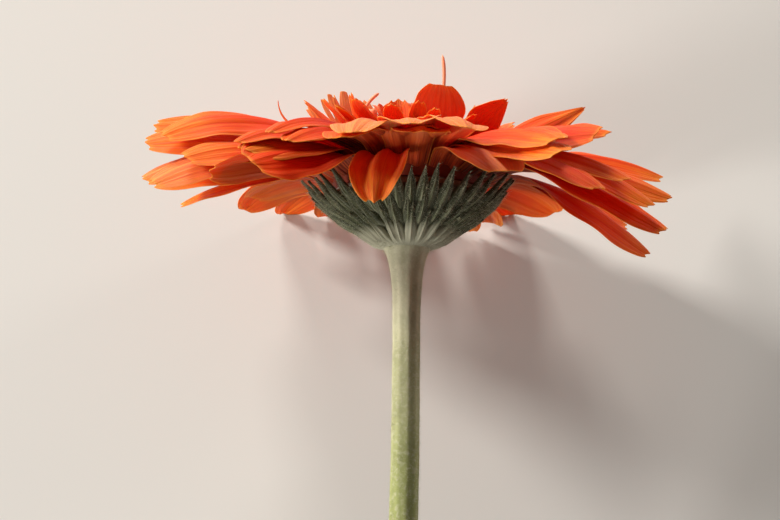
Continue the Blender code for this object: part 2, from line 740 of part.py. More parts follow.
def main():
    for obj in list(bpy.data.objects):
        bpy.data.objects.remove(obj)
    draw = random.Random(SEED)
    green = material("green_tissue", (0.16, 0.20, 0.06), 0.75)
    grey_green = material("bract_green", (0.13, 0.15, 0.07), 0.80)
    orange = material("petal_orange", (0.95, 0.13, 0.01), 0.55)
    deep_orange = material("floret_orange", (0.90, 0.20, 0.03), 0.60)
    made = (
        (make_stem(), green),
        (make_involucre(), grey_green),
        (make_ray_florets(draw), orange),
        (make_trans_florets(draw), orange),
        (make_disc_florets(draw), deep_orange),
    )
    flower = bpy.data.objects.new("flower", None)
    bpy.context.scene.collection.objects.link(flower)
    flower.matrix_world = Matrix.Translation(HEAD_CENTRE) @ Matrix.Rotation(
        math.radians(HEAD_RISE - 90.0), 4, "X"
    )
    for obj, finish in made:
        obj.data.materials.clear()
        obj.data.materials.append(finish)
        obj.parent = flower


main()
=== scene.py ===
"""Gerbera daisy: the looks of one cut bloom that lies on a pale floor.

Every sub-assembly is a class. Its sizes are dataclass fields in metres and degrees, given in the flower's
own frame: +Z along the head's axis towards its face, +X to the right, +Y to the far side, and the origin in
the middle of the petal disc. One pose then lays the whole flower down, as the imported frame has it.
"""

import logging
import math
import random
from dataclasses import dataclass, field, replace
from enum import Enum
from functools import partial

import bpy
import numpy as np
from mathutils import Matrix, Vector


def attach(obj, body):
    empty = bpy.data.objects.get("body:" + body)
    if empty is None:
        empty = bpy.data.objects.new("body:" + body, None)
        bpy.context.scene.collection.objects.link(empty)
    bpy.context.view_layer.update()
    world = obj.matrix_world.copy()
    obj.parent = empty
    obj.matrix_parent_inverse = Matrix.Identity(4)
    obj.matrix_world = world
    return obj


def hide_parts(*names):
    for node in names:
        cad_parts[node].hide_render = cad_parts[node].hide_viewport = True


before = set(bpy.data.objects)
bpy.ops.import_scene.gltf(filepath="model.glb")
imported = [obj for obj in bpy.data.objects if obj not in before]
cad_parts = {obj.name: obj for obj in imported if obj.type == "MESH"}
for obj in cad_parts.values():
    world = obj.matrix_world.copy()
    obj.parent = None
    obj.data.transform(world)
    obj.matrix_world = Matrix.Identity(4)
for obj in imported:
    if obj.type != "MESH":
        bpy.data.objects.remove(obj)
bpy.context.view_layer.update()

BODY = "root"
MM = 0.001
TONE_APART = 40.0  # how far apart in the noise the shades of a piece lie
log = logging.getLogger("gerbera")

Array = np.ndarray
Material = bpy.types.Material
Object = bpy.types.Object
Socket = bpy.types.NodeSocket
Colour = tuple[float, float, float]
Point = tuple[float, float, float]
Pair = tuple[float, float]
Run = tuple[tuple[float, Colour], ...]


@dataclass(frozen=True)
class Pose:
    """How the flower lies on the floor: on its far petals and the cut end of its stem.

    The head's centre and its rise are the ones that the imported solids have.

    Attributes:
        head: The head's centre in the world.
        rise: Angle of the head's axis above the floor, in degrees.
    """

    head: Point = (0.0, 0.1081, 0.0485)
    rise: float = 11.0

    @property
    def rise_sin(self) -> float:
        """Sine of the head axis's angle above the floor."""
        return math.sin(math.radians(self.rise))

    @property
    def rise_cos(self) -> float:
        """Cosine of the head axis's angle above the floor."""
        return math.cos(math.radians(self.rise))

    def matrix(self) -> Matrix:
        """The flower's frame in the world."""
        return Matrix.Translation(self.head) @ Matrix.Rotation(math.radians(self.rise - 90.0), 4, "X")

    def to_world(self, points: Array) -> Array:
        """Points of the flower's frame, in the world.

        Args:
            points: An array of N points, N by 3.

        Returns:
            The same points in the world, N by 3.
        """
        matrix = np.array(self.matrix())
        return points @ matrix[:3, :3].T + matrix[:3, 3]

    def heights(self, points: Array) -> Array:
        """Heights above the floor of points of the flower's frame."""
        return self.head[2] - points[:, 1] * self.rise_cos + points[:, 2] * self.rise_sin

    def lift(self, upper: Array, lower: Array) -> tuple[Array, Array]:
        """Two faces of a petal, pressed flat together where they would sink into the floor.

        Args:
            upper: Points of the upper face, N by 3.
            lower: The points under them, N by 3.

        Returns:
            Both faces, with each pair lifted by what its lower point lacks.
        """
        sunk = -np.minimum(self.heights(upper), self.heights(lower))
        way = np.array((0.0, -self.rise_cos, self.rise_sin))
        rise = np.maximum(0.0, sunk)[:, None] * way
        return upper + rise, lower + rise


POSE = Pose()


def smooth(low: float, high: float, value: Array) -> Array:
    """A smooth step from 0 at low to 1 at high."""
    share = np.clip((value - low) / (high - low), 0.0, 1.0)
    return share * share * (3.0 - 2.0 * share)


def unit(vectors: Array) -> Array:
    """Vectors brought to length one."""
    return vectors / np.linalg.norm(vectors, axis=-1, keepdims=True)


def spun(points: Array, azimuth: float) -> Array:
    """Points turned about the head's axis by an azimuth in degrees."""
    angle = math.radians(azimuth)
    cos, sin = math.cos(angle), math.sin(angle)
    turn = np.array(((cos, -sin, 0.0), (sin, cos, 0.0), (0.0, 0.0, 1.0)))
    return points @ turn.T


def stack(*parts: Array) -> Array:
    """Arrays set side by side along a new last axis."""
    return np.stack(parts, axis=-1)


def spread(first: Array, second: Array) -> tuple[Array, Array]:
    """Every pair of values from two rows, flattened, with the second running fastest."""
    grids = np.meshgrid(first, second, indexing="ij")
    return grids[0].ravel(), grids[1].ravel()


def crowded(shares: Array, pull: float) -> Array:
    """Shares drawn towards the ends of their range by a pull from 0 to 1."""
    return (1.0 - pull) * shares + pull * np.sin(0.5 * np.pi * shares)


def circle(sides: int) -> Array:
    """Angles of points spaced evenly round a circle, in radians."""
    return 2.0 * np.pi * np.arange(sides) / sides


def placed(name: str, data: bpy.types.ID) -> Object:
    """A new object with its data, in the scene."""
    made = bpy.data.objects.new(name, data)
    bpy.context.scene.collection.objects.link(made)
    return made


@dataclass
class Bundle:
    """Points and faces gathered for one piece, with the values that its finish reads.

    Attributes:
        name: The piece's name.
        values: Names of the point values, such as the share along a petal.
        points: The points of its bodies so far.
        faces: Their faces.
        places: The bake coordinates of the faces' corners.
        data: The point values.
        count: How many points it has.
    """

    name: str
    values: tuple[str, ...]
    points: list[Array] = field(default_factory=list)
    faces: list[Array] = field(default_factory=list)
    places: list[Array] = field(default_factory=list)
    data: dict[str, list[Array]] = field(default_factory=dict)
    count: int = 0

    def add(self, points: Array, faces: list[Array], places: list[Array], **data: object) -> None:
        """Adds one closed body.

        Args:
            points: Its points in the flower's frame, N by 3.
            faces: Arrays of faces, each M by 3 or M by 4, that index the points.
            places: For each array of faces, its bake coordinates, M by 3 or 4 by 2.
            **data: For each named value, one number or N of them.
        """
        for group, place in zip(faces, places):
            self.faces.append(group + self.count)
            self.places.append(place)
        for key in self.values:
            given = data.get(key, 0.0)
            self.data.setdefault(key, []).append(np.broadcast_to(given, (len(points),)))
        self.points.append(points)
        self.count += len(points)

    def piece(self, material: Material, smoothing: float = 50.0) -> Object:
        """The finished piece, in the world and in the scene.

        Args:
            material: Its finish.
            smoothing: Edges sharper than this angle, in degrees, stay sharp.

        Returns:
            The new object.
        """
        mesh = bpy.data.meshes.new(self.name)
        world = POSE.to_world(np.concatenate(self.points))
        faces = [face for group in self.faces for face in group.tolist()]
        mesh.from_pydata(world.tolist(), [], faces)
        for key in self.values:
            column = mesh.attributes.new(key, "FLOAT", "POINT")
            column.data.foreach_set("value", np.concatenate(self.data[key]).astype(np.float32))
        layer = mesh.uv_layers.new(name="OFBake")
        flat = np.concatenate([place.reshape(-1) for place in self.places]).astype(np.float32)
        layer.data.foreach_set("uv", flat)
        mesh.shade_smooth()
        mesh.set_sharp_from_angle(angle=math.radians(smoothing))
        mesh.materials.append(material)
        return placed(self.name, mesh)


@dataclass(frozen=True)
class Tile:
    """One rectangle of a piece's bake sheet.

    Attributes:
        index: Which tile of the sheet it is, row by row.
        across: How many tiles lie side by side.
        down: How many rows of them the sheet has.
        margin: Share of a tile that stays free at each side.
    """

    index: int
    across: int
    down: int
    margin: float = 0.04

    def place(self, u: Array, v: Array) -> Array:
        """Bake coordinates of shares of the tile.

        Args:
            u: Shares across, from 0 to 1.
            v: Shares up, from 0 to 1.

        Returns:
            The coordinates, with one more axis of length 2.
        """
        inside = 1.0 - 2.0 * self.margin
        x = (self.index % self.across + self.margin + inside * u) / self.across
        y = (self.index // self.across + self.margin + inside * v) / self.down
        return stack(x, y)


def sheet(tiles: int, shape: float) -> list[Tile]:
    """Cuts a square bake sheet into equal tiles.

    Args:
        tiles: How many are needed.
        shape: A tile's natural height over its width.

    Returns:
        The tiles, row by row.
    """
    across = max(1, math.ceil(math.sqrt(tiles * shape)))
    return [Tile(k, across, math.ceil(tiles / across)) for k in range(tiles)]


def cells(rows: int, columns: int) -> tuple[Array, Array]:
    """Row and column of every cell of a grid, row by row."""
    return spread(np.arange(rows), np.arange(columns))


def grid_faces(rows: int, columns: int) -> Array:
    """Four-sided faces of a grid of points, facing rows-way cross columns-way."""
    row, column = cells(rows - 1, columns - 1)
    a = row * columns + column
    return stack(a, a + columns, a + columns + 1, a + 1)


def slab(
    bundle: Bundle, upper: Array, lower: Array, rows: int, along: Array, across: Array, tiles: list[Tile],
    **data: object,
) -> None:
    """Adds a thin closed body between two grids of points to a bundle.

    Args:
        bundle: What the body joins.
        upper: The upper face's points, row by row.
        lower: The points under them.
        rows: Rows of points along the body.
        along: The points' shares of its length, from 0 to 1.
        across: Their shares of its half width, from -1 to 1.
        tiles: The bake tiles of its two faces.
        **data: The piece's other point values.
    """
    below = len(upper)
    columns = below // rows
    top = grid_faces(rows, columns)
    bottom = top[:, ::-1] + below
    u, v = np.tile(0.5 + 0.5 * across, 2), np.tile(along, 2)
    left = np.arange(rows - 1) * columns
    right = left + columns - 1
    low = np.arange(columns - 1)
    last = (rows - 1) * columns + low
    rims = (
        stack(left, left + below, left + columns + below, left + columns),
        stack(right, right + columns, right + columns + below, right + below),
        stack(low, low + 1, low + 1 + below, low + below),
        stack(last, last + below, last + 1 + below, last + 1),
    )
    places = [tiles[0].place(u[top], v[top]), tiles[1].place(u[bottom], v[bottom])]
    places += [tiles[0].place(u[rim], v[rim]) for rim in rims]
    values = {key: np.tile(value, 2) if np.ndim(value) else value for key, value in data.items()}
    values.update(along=v, across=np.tile(across, 2), upper=np.repeat((1.0, 0.0), below))
    bundle.add(np.concatenate((upper, lower)), [top, bottom, *rims], places, **values)


def needles(
    bundle: Bundle, feet: Array, ways: Array, lengths: Array, radius: float, **data: object
) -> None:
    """Adds fine three-sided hairs to a bundle.

    Args:
        bundle: What the hairs join.
        feet: Where they stand, N by 3.
        ways: Their directions, unit vectors, N by 3.
        lengths: Their lengths, N.
        radius: Their radius at the foot.
        **data: For each named value, one number or N of them.
    """
    count = len(feet)
    helper = np.where(np.abs(ways[:, 2:3]) < 0.9, np.array((0.0, 0.0, 1.0)), np.array((1.0, 0.0, 0.0)))
    side = unit(np.cross(ways, helper))
    front = np.cross(ways, side)
    corners = []
    for k in range(3):
        angle = 2.0 * math.pi * k / 3.0
        corners.append(feet + radius * (math.cos(angle) * side + math.sin(angle) * front))
    corners.append(feet + ways * lengths[:, None])
    points = np.stack(corners, axis=1).reshape(-1, 3)
    start = 4 * np.arange(count)[:, None, None]
    body = np.array(((0, 2, 1), (0, 1, 3), (1, 2, 3), (2, 0, 3)))
    faces = (start + body).reshape(-1, 3)
    columns = math.ceil(math.sqrt(count))
    index = np.arange(count)
    cell = stack(index % columns, index // columns) / columns
    corner = np.array(((0.2, 0.2), (0.8, 0.2), (0.5, 0.8))) / columns
    places = np.repeat((cell[:, None, :] + corner)[:, None], 4, axis=1).reshape(-1, 3, 2)
    values = {key: np.repeat(value, 4) if np.ndim(value) else value for key, value in data.items()}
    bundle.add(points, [faces], [places], **values)


def tube(rows: int, sides: int, tile: Tile, flipped: bool = False) -> tuple[list[Array], list[Array]]:
    """Faces of a closed tube, whose points are its rings and then the middles of its two ends.

    Args:
        rows: Rings of points along it.
        sides: Points in a ring.
        tile: Its bake tile.
        flipped: Whether its rings run the other way round.

    Returns:
        The faces of the wall and of both ends, and their bake coordinates.
    """
    row, column = cells(rows - 1, sides)
    a, b = row * sides + column, row * sides + (column + 1) % sides
    k = np.arange(sides)
    after = (k + 1) % sides
    last = (rows - 1) * sides
    faces = [
        stack(a, b, b + sides, a + sides),
        stack(np.full(sides, rows * sides), after, k),
        stack(np.full(sides, rows * sides + 1), last + k, last + after),
    ]
    wide = stack(column, column + 1, column + 1, column) / sides
    level = stack(row, row, row + 1, row + 1) / (rows - 1)
    flat = stack(k + 0.5, k + 1, k) / sides
    places = [tile.place(wide, level), tile.place(flat, 0.0 * flat), tile.place(flat, 0.0 * flat + 1.0)]
    if flipped:
        faces, places = ([np.roll(part[:, ::-1], 1, axis=1) for part in group] for group in (faces, places))
    return faces, places


def turned(bundle: Bundle, outline: tuple[Pair, ...], sides: int, tile: Tile, **data: object) -> None:
    """Adds a closed turned body about the head's axis.

    Args:
        bundle: What it joins.
        outline: Radius and height pairs that run upwards.
        sides: Points round it.
        tile: Its bake tile.
        **data: The piece's point values.
    """
    angle = circle(sides)
    rings = [stack(out * np.cos(angle), out * np.sin(angle), np.full(sides, up)) for out, up in outline]
    ends = [[(0.0, 0.0, outline[end][1])] for end in (0, -1)]
    bundle.add(np.concatenate((*rings, *ends)), *tube(len(outline), sides, tile), **data)


# Petal form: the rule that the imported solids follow, as shares of a blade's length or full width
ROOT_WIDTH = 0.50
SWELL_END = 0.62
SWELL_POWER = 0.8
HANDLE = 0.36
ARC_PER_CHORD = 1.08
TOOTH_START = 0.80
SIDE_SETBACK = 0.6
ROOT_ARCH = 0.35
ARCH_END = 0.5
TWIST_START = 0.10
TWIST_END = 0.62
CLAW_END = 0.22
PLEAT_FIRST = 0.15
PLEAT_LAST = 0.85


@dataclass(frozen=True)
class Blade:
    """One petal, from its root in the head to its toothed tip.

    Attributes:
        azimuth: Its way out from the head, in degrees.
        root: Radius and height of its root.
        tip: Radius and height of its tip.
        rise: Angle of its centreline at the root.
        arrive: Angle of its centreline at the tip.
        width: Its full width.
        arch: How far its cross-section bends, in degrees.
        pleat: Depth of its two main grooves.
        twist: Turn about its own length at the tip, in degrees.
        sway: How far the tip leaves the radial line.
        taper: Share of the length at which it begins to narrow.
        point: Share of its width that is left at the tip.
        sharp: 0.5 for a rounded end, 1 for a pointed one.
        tooth: Depth of the notches between its teeth.
        claw: How far its root dips into the cup.
        tone: Its shade, from deep red at 0 to pale orange at 1, drawn by chance below 0; a given tone is
            painted shade when low and painted light when high.
    """

    azimuth: float
    root: Pair
    tip: Pair
    rise: float
    arrive: float
    width: float
    arch: float = 60.0
    pleat: float = 0.00035
    twist: float = 0.0
    sway: float = 0.0
    taper: float = 0.75
    point: float = 0.36
    sharp: float = 0.5
    tooth: float = 0.0007
    claw: float = 0.0
    tone: float = -1.0

    def widths(self, along: Array) -> Array:
        """Full widths at shares of the length."""
        swell = np.sin(0.5 * np.pi * np.clip(along / SWELL_END, 0.0, 1.0)) ** SWELL_POWER
        end = np.clip((along - self.taper) / (1.0 - self.taper), 0.0, 1.0)
        narrow = (1.0 - (1.0 - self.point ** (1.0 / self.sharp)) * end * end) ** self.sharp
        return self.width * (ROOT_WIDTH + (1.0 - ROOT_WIDTH) * swell) * narrow

    def centres(self, along: Array) -> tuple[Array, Array]:
        """Centreline points and unit tangents at shares of the length, before the blade is spun."""
        chord = math.dist(self.root, self.tip)
        rise = math.radians(self.rise)
        arrive = math.radians(self.arrive)
        p0 = np.array(self.root)
        p3 = np.array(self.tip)
        p1 = p0 + HANDLE * chord * np.array((math.cos(rise), math.sin(rise)))
        p2 = p3 - HANDLE * chord * np.array((math.cos(arrive), math.sin(arrive)))
        t = along[:, None]
        back = 1.0 - t
        place = back**3 * p0 + 3 * back**2 * t * p1 + 3 * back * t**2 * p2 + t**3 * p3
        pace = 3 * (back**2 * (p1 - p0) + 2 * back * t * (p2 - p1) + t**2 * (p3 - p2))
        share = np.clip(along / CLAW_END, 0.0, 1.0)
        dip = self.claw * (1.0 - share * share * (3.0 - 2.0 * share))
        climb = self.claw * 6.0 * share * (1.0 - share) / CLAW_END
        points = stack(place[:, 0], self.sway * along**2, place[:, 1] - dip)
        tangents = stack(pace[:, 0], 2 * self.sway * along, pace[:, 1] + climb)
        return points, unit(tangents)

    def surface(self, along: Array, across: Array) -> tuple[Array, Array]:
        """Middle points and unit normals of the blade, spun to its azimuth.

        Args:
            along: Shares of the length, from 0 at the root to 1 at the tip.
            across: Shares of the half width, from -1 to 1.

        Returns:
            The points and the normals, each N by 3.
        """
        notch = np.sin(np.pi * across) ** 2 + SIDE_SETBACK * across * across
        late = np.clip((along - TOOTH_START) / (1.0 - TOOTH_START), 0.0, 1.0)
        length = ARC_PER_CHORD * math.dist(self.root, self.tip)
        along = along - late * notch * self.tooth / length
        centre, tangent = self.centres(along)
        side = unit(np.array((0.0, 1.0, 0.0)) - tangent[:, 1:2] * tangent)
        normal = np.cross(tangent, side)
        twist = (math.radians(self.twist) * smooth(TWIST_START, TWIST_END, along))[:, None]
        keep, turn = np.cos(twist), np.sin(twist)
        side, normal = side * keep + normal * turn, normal * keep - side * turn
        half = 0.5 * self.widths(along)
        bend = math.radians(self.arch) * (ROOT_ARCH + (1.0 - ROOT_ARCH) * np.minimum(1.0, along / ARCH_END))
        turn = 0.5 * bend * across
        reach = half * across * np.sinc(turn / np.pi)
        fall = half * (1.0 - np.cos(turn)) / (0.5 * bend)
        depth = np.sin(np.pi * (PLEAT_FIRST + (PLEAT_LAST - PLEAT_FIRST) * along))
        groove = self.pleat * depth * np.cos(2 * np.pi * across)
        middle = centre + side * reach[:, None] + normal * (groove - fall)[:, None]
        outward = normal * np.cos(turn)[:, None] + side * np.sin(turn)[:, None]
        return spun(middle, self.azimuth), spun(outward, self.azimuth)


@dataclass(frozen=True)
class Ring:
    """A layer of like blades round the head, and the ones in it that have a shape of their own.

    Attributes:
        count: Places round the head.
        first: Azimuth of the first place, in degrees.
        blade: The blade that fills the places.
        specials: Blades with a shape of their own, each of which takes the place nearest to it.
        far_lift: How much higher the far side's tips stand.
    """

    count: int
    first: float
    blade: Blade
    specials: tuple[Blade, ...] = ()
    far_lift: float = 0.0


@dataclass(frozen=True)
class Variety:
    """How petals vary round the head and from one to the next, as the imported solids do.

    Attributes:
        seed: Start of the shared chance.
        side_drop: How much lower the right side's tips stand, and higher the left side's.
        side_fall: How far their roots turn with that, in degrees.
        side_droop: How far their tips turn.
        side_twist: How far they twist.
        azimuth: Share of the space between two places by which azimuths vary.
        height: How far the tips' heights vary.
        reach: Share by which the reaches vary.
        turn: How far the tips' angles and the twists vary, in degrees.
        width: Least and greatest share of the width.
        full_reach: The reach at which side_drop holds.
        press_drop: How far a tip goes back for each metre of reach that the floor takes.
        press_turn: How many degrees it turns back for each metre.
    """

    seed: int = 11
    side_drop: float = 0.0055
    side_fall: float = 3.0
    side_droop: float = 8.0
    side_twist: float = 36.0
    azimuth: float = 0.10
    height: float = 0.0010
    reach: float = 0.025
    turn: float = 5.0
    width: Pair = (0.92, 1.06)
    full_reach: float = 0.0535
    press_drop: float = 0.9
    press_turn: float = 7000.0

    def blades(self, ring: Ring, draw: random.Random) -> list[Blade]:
        """The blades of a ring, each varied a little.

        Args:
            ring: The ring.
            draw: The shared source of chance.

        Returns:
            The ring's blades: the special ones first, then the others in order.
        """
        pitch = 360.0 / ring.count
        blades = list(ring.specials)
        for k in range(ring.count):
            azimuth = ring.first + pitch * (k + draw.uniform(-self.azimuth, self.azimuth))
            right = math.cos(math.radians(azimuth))
            reach = ring.blade.tip[0] * (1.0 + draw.uniform(-self.reach, self.reach))
            drop = self.side_drop * right * reach / self.full_reach
            drop -= ring.far_lift * math.sin(math.radians(azimuth))
            varied = replace(
                ring.blade,
                azimuth=azimuth,
                tip=(reach, ring.blade.tip[1] - drop + draw.uniform(-self.height, self.height)),
                rise=ring.blade.rise - self.side_fall * right,
                arrive=ring.blade.arrive - self.side_droop * right + draw.uniform(-self.turn, self.turn),
                twist=self.side_twist * right + draw.uniform(-self.turn, self.turn),
                width=ring.blade.width * draw.uniform(*self.width),
            )
            gaps = [abs((azimuth - taken.azimuth + 180.0) % 360.0 - 180.0) for taken in ring.specials]
            if min(gaps, default=360.0) > 0.5 * pitch:
                blades.append(varied)
        return [self.laid(blade) for blade in blades]

    def laid(self, blade: Blade) -> Blade:
        """A far blade shortened to the floor, with its tip bent back; others as they are."""
        up = math.sin(math.radians(blade.azimuth))
        if up <= 0.0:
            return blade
        limit = (POSE.head[2] + blade.tip[1] * POSE.rise_sin) / POSE.rise_cos / up
        excess = blade.tip[0] - limit
        if excess <= 0.0:
            return blade
        height = blade.tip[1] - self.press_drop * excess
        limit = (POSE.head[2] + height * POSE.rise_sin) / POSE.rise_cos / up
        return replace(blade, tip=(limit, height), arrive=blade.arrive - self.press_turn * excess)


VARIETY = Variety()


def special(
    like: Blade, azimuth: float, reach: float, height: float, rise: float, arrive: float, **more: float
) -> Blade:
    """A blade of its own shape.

    Args:
        like: The blade that gives the other sizes.
        azimuth: Its way out from the head.
        reach: Radius of its tip, in millimetres.
        height: Height of its tip, in millimetres.
        rise: Angle at its root.
        arrive: Angle at its tip.
        **more: Other sizes that differ.

    Returns:
        The blade.
    """
    return replace(like, azimuth=azimuth, tip=(reach * MM, height * MM), rise=rise, arrive=arrive, **more)


LOW_RAY = Blade(0, (0.0143, -0.0013), (0.0535, -0.0078), 6.0, -22.0, 0.0120, claw=0.0028)
FOLDED_RAY = replace(LOW_RAY, width=0.0118, arch=8.0, pleat=0.0008, taper=0.50, point=0.14)
LOWER_RAY = Blade(0, (0.0140, -0.0004), (0.0530, -0.0040), 8.0, -20.0, 0.0118, claw=0.0020)
UPPER_RAY = Blade(0, (0.0135, 0.0005), (0.0500, -0.0005), 11.0, -18.0, 0.0114)
TOP_RAY = Blade(0, (0.0130, 0.0014), (0.0440, 0.0030), 15.0, -16.0, 0.0110)
SMALL_RAY = special(
    TOP_RAY, -120.0, 29.2, 6.4, 26.0, 4.0,
    width=0.0074, twist=-30.0, taper=0.30, point=0.08, sharp=1.0, tooth=0.0, tone=0.6,
)
low_ray, lower_ray, upper_ray, top_ray = (
    partial(special, blade) for blade in (LOW_RAY, LOWER_RAY, UPPER_RAY, TOP_RAY)
)
# The tones given to the special blades are painted light and shade: low for petals that lie in shade, high
# for lit ones.
RAY_RINGS = {
    "ray_petals_low": Ring(14, 14.0, LOW_RAY, (
        low_ray(11.0, 52.2, -17.0, 6.0, -40.0, width=0.0128, twist=38.0, point=0.25),
        low_ray(49.0, 50.3, -2.1, 8.0, -18.0, twist=-12.0, point=0.3, tooth=0.0002),
        low_ray(73.0, 49.2, -4.6, 5.0, -26.0, width=0.0090, point=0.3),
        low_ray(91.0, 50.0, -5.5, 4.0, -24.0),
        low_ray(119.5, 57.2, 0.4, 9.0, -16.0, width=0.0112, point=0.3, tooth=0.0002),
        low_ray(134.0, 52.2, -1.6, 9.0, -32.0, width=0.0110, twist=10.0, point=0.3, tooth=0.0002),
        low_ray(157.0, 53.3, -4.0, 5.0, -24.0, width=0.0100, twist=-24.0, tone=0.7),
        low_ray(-165.0, 54.0, -7.0, 7.0, -34.0, twist=-36.0, tone=0.95),
        low_ray(-153.0, 45.0, -6.0, 4.0, -20.0, width=0.0106, twist=28.0, tone=0.3),
        low_ray(-135.0, 44.0, -6.6, 3.0, -22.0, width=0.0138, arch=36.0, twist=-46.0, tone=0),
        special(FOLDED_RAY, -103.0, 30.4, -14.6, 8.0, -102.0, tone=0.9),
        low_ray(-90.0, 44.5, -2.2, 6.0, -30.0, width=0.0126, arch=-20.0, tone=1.0),
        low_ray(-62.0, 40.5, -9.6, 8.0, -44.0, width=0.0125, arch=26.0, twist=8.0, point=0.5, tone=1.0),
        low_ray(-41.0, 49.8, -12.3, 7.0, -38.0, width=0.0104, twist=12.0, point=0.25),
        low_ray(-13.0, 53.8, -16.5, 6.0, -36.0, width=0.0112, twist=30.0),
    )),
    "ray_petals_lower": Ring(13, 27.0, LOWER_RAY, (
        lower_ray(64.0, 56.0, 0.6, 9.0, -12.0),
        lower_ray(88.0, 49.0, -1.0, 9.0, -12.0),
        lower_ray(110.0, 52.5, -0.6, 8.0, -16.0),
        lower_ray(141.3, 44.0, -1.0, 10.0, -20.0),
        lower_ray(-173.0, 55.2, -4.6, 10.0, -30.0, twist=-36.0, tone=0.95),
        lower_ray(-159.0, 48.7, -2.4, 9.0, -24.0, twist=-36.0, tone=0.85),
        lower_ray(-139.0, 43.0, -3.5, 8.0, -24.0, twist=-30.0),
        lower_ray(-104.0, 46.0, -4.0, 4.0, -45.0, arch=24.0, tone=0.98),
        lower_ray(-76.0, 45.5, -2.9, 6.0, -38.0, width=0.0126, arch=28.0, twist=-8.0, tone=0.98),
        lower_ray(-27.0, 49.6, -8.2, 10.0, -34.0, width=0.0104, twist=20.0, point=0.25),
        lower_ray(-2.0, 54.9, -7.5, 9.0, -26.0, twist=34.0, point=0.25),
    )),
    "ray_petals_upper": Ring(12, 5.0, UPPER_RAY, (
        upper_ray(10.0, 55.1, -0.5, 12.0, -24.0, twist=32.0),
        upper_ray(174.0, 54.2, 9.9, 16.0, -6.0, twist=-34.0, tone=0.85),
        upper_ray(-177.0, 54.9, 4.1, 13.0, -16.0, width=0.0126, arch=46.0, twist=-42.0, tone=0.9),
        upper_ray(
            -142.0, 43.6, -1.6, 16.0, -34.0,
            width=0.0102, twist=-18.0, taper=0.5, point=0.14, tone=0.3,
        ),
        upper_ray(
            -122.0, 45.0, -4.0, 14.0, -32.0,
            width=0.0106, twist=-16.0, taper=0.5, point=0.14, tone=0.15,
        ),
        upper_ray(-109.0, 41.0, -3.5, 6.0, -34.0, arch=24.0),
        upper_ray(-86.0, 40.0, -2.6, 4.0, -26.0, arch=30.0),
        upper_ray(-33.0, 45.4, 1.1, 6.0, -8.0, width=0.0125, twist=44.0, taper=0.55, tone=0.05),
        upper_ray(-17.0, 52.0, -12.0, 12.0, -38.0, width=0.0108, twist=24.0, point=0.25),
    )),
    "ray_petals_top": Ring(10, 24.0, TOP_RAY, (
        top_ray(
            37.0, 49.5, 20.0, 25.0, 24.0,
            width=0.0100, twist=40.0, taper=0.45, point=0.06, sharp=1.0, tone=0.7,
        ),
        top_ray(165.0, 55.7, 13.0, 22.0, -8.0, twist=-30.0, tone=0.85),
        top_ray(-170.0, 51.5, 4.2, 34.0, -32.0, width=0.0120, twist=-38.0, tone=0.8),
        top_ray(-128.0, 44.6, -1.6, 20.0, -34.0, width=0.0098, twist=-12.0, taper=0.5, point=0.14),
        SMALL_RAY,
        top_ray(-84.0, 36.0, -0.6, 8.0, -22.0),
        top_ray(-46.0, 41.5, -2.2, 10.0, -14.0, width=0.0125, twist=44.0, tone=0),
        top_ray(-20.4, 44.0, 3.2, 22.0, -16.0, twist=26.0, point=0.2),
    )),
}

LOW_TRANS = Blade(
    0, (0.0129, 0.0035), (0.0232, 0.0108), 40.0, 24.0, 0.0042, 50.0, 0.0, taper=0.6, tooth=0.0006
)
HIGH_TRANS = replace(
    LOW_TRANS, root=(0.0123, 0.0039), tip=(0.0166, 0.0132), rise=70.0, arrive=56.0, width=0.0038, arch=60.0
)
low_trans, high_trans = partial(special, LOW_TRANS), partial(special, HIGH_TRANS)
# The tones given to the special short blades are painted light and shade: low for shaded petals, high for
# lit ones.
TRANS_RINGS = {
    "short_petals_low": Ring(17, 8.0, LOW_TRANS, (
        low_trans(
            -30.0, 23.7, 11.3, 44.0, 34.0,
            width=0.0092, arch=20.0, twist=-40.0, taper=0.15, point=0.05, sharp=1.0, tone=0.45,
        ),
        low_trans(170.0, 21.2, 14.3, 48.0, 72.0, width=0.0034, point=0.6, tooth=0.0, tone=0.9),
        low_trans(179.0, 27.3, 14.0, 24.0, 88.0, width=0.0021, arch=30.0, taper=0.3, tooth=0.0, tone=0.4),
    ), far_lift=0.0030),
    "short_petals_high": Ring(14, 20.0, HIGH_TRANS, (
        high_trans(
            -64.0, 14.8, 13.9, 80.0, 80.0,
            width=0.0126, arch=34.0, taper=0.42, point=0.4, tooth=0.0001, tone=0.45,
        ),
        high_trans(-98.0, 14.8, 10.6, 78.0, 80.0, width=0.0056, arch=90.0, tone=0.8),
        high_trans(142.0, 17.0, 18.6, 74.0, 72.0, width=0.0050, arch=80.0, point=0.5, tooth=0.0, tone=0.8),
        high_trans(153.0, 18.4, 17.4, 72.0, 70.0, width=0.0036, arch=80.0, point=0.6, tooth=0.0, tone=0.9),
        high_trans(164.0, 18.6, 15.4, 70.0, 68.0, width=0.0036, arch=80.0, point=0.6, tooth=0.0, tone=0.9),
    ), far_lift=0.0034),
}


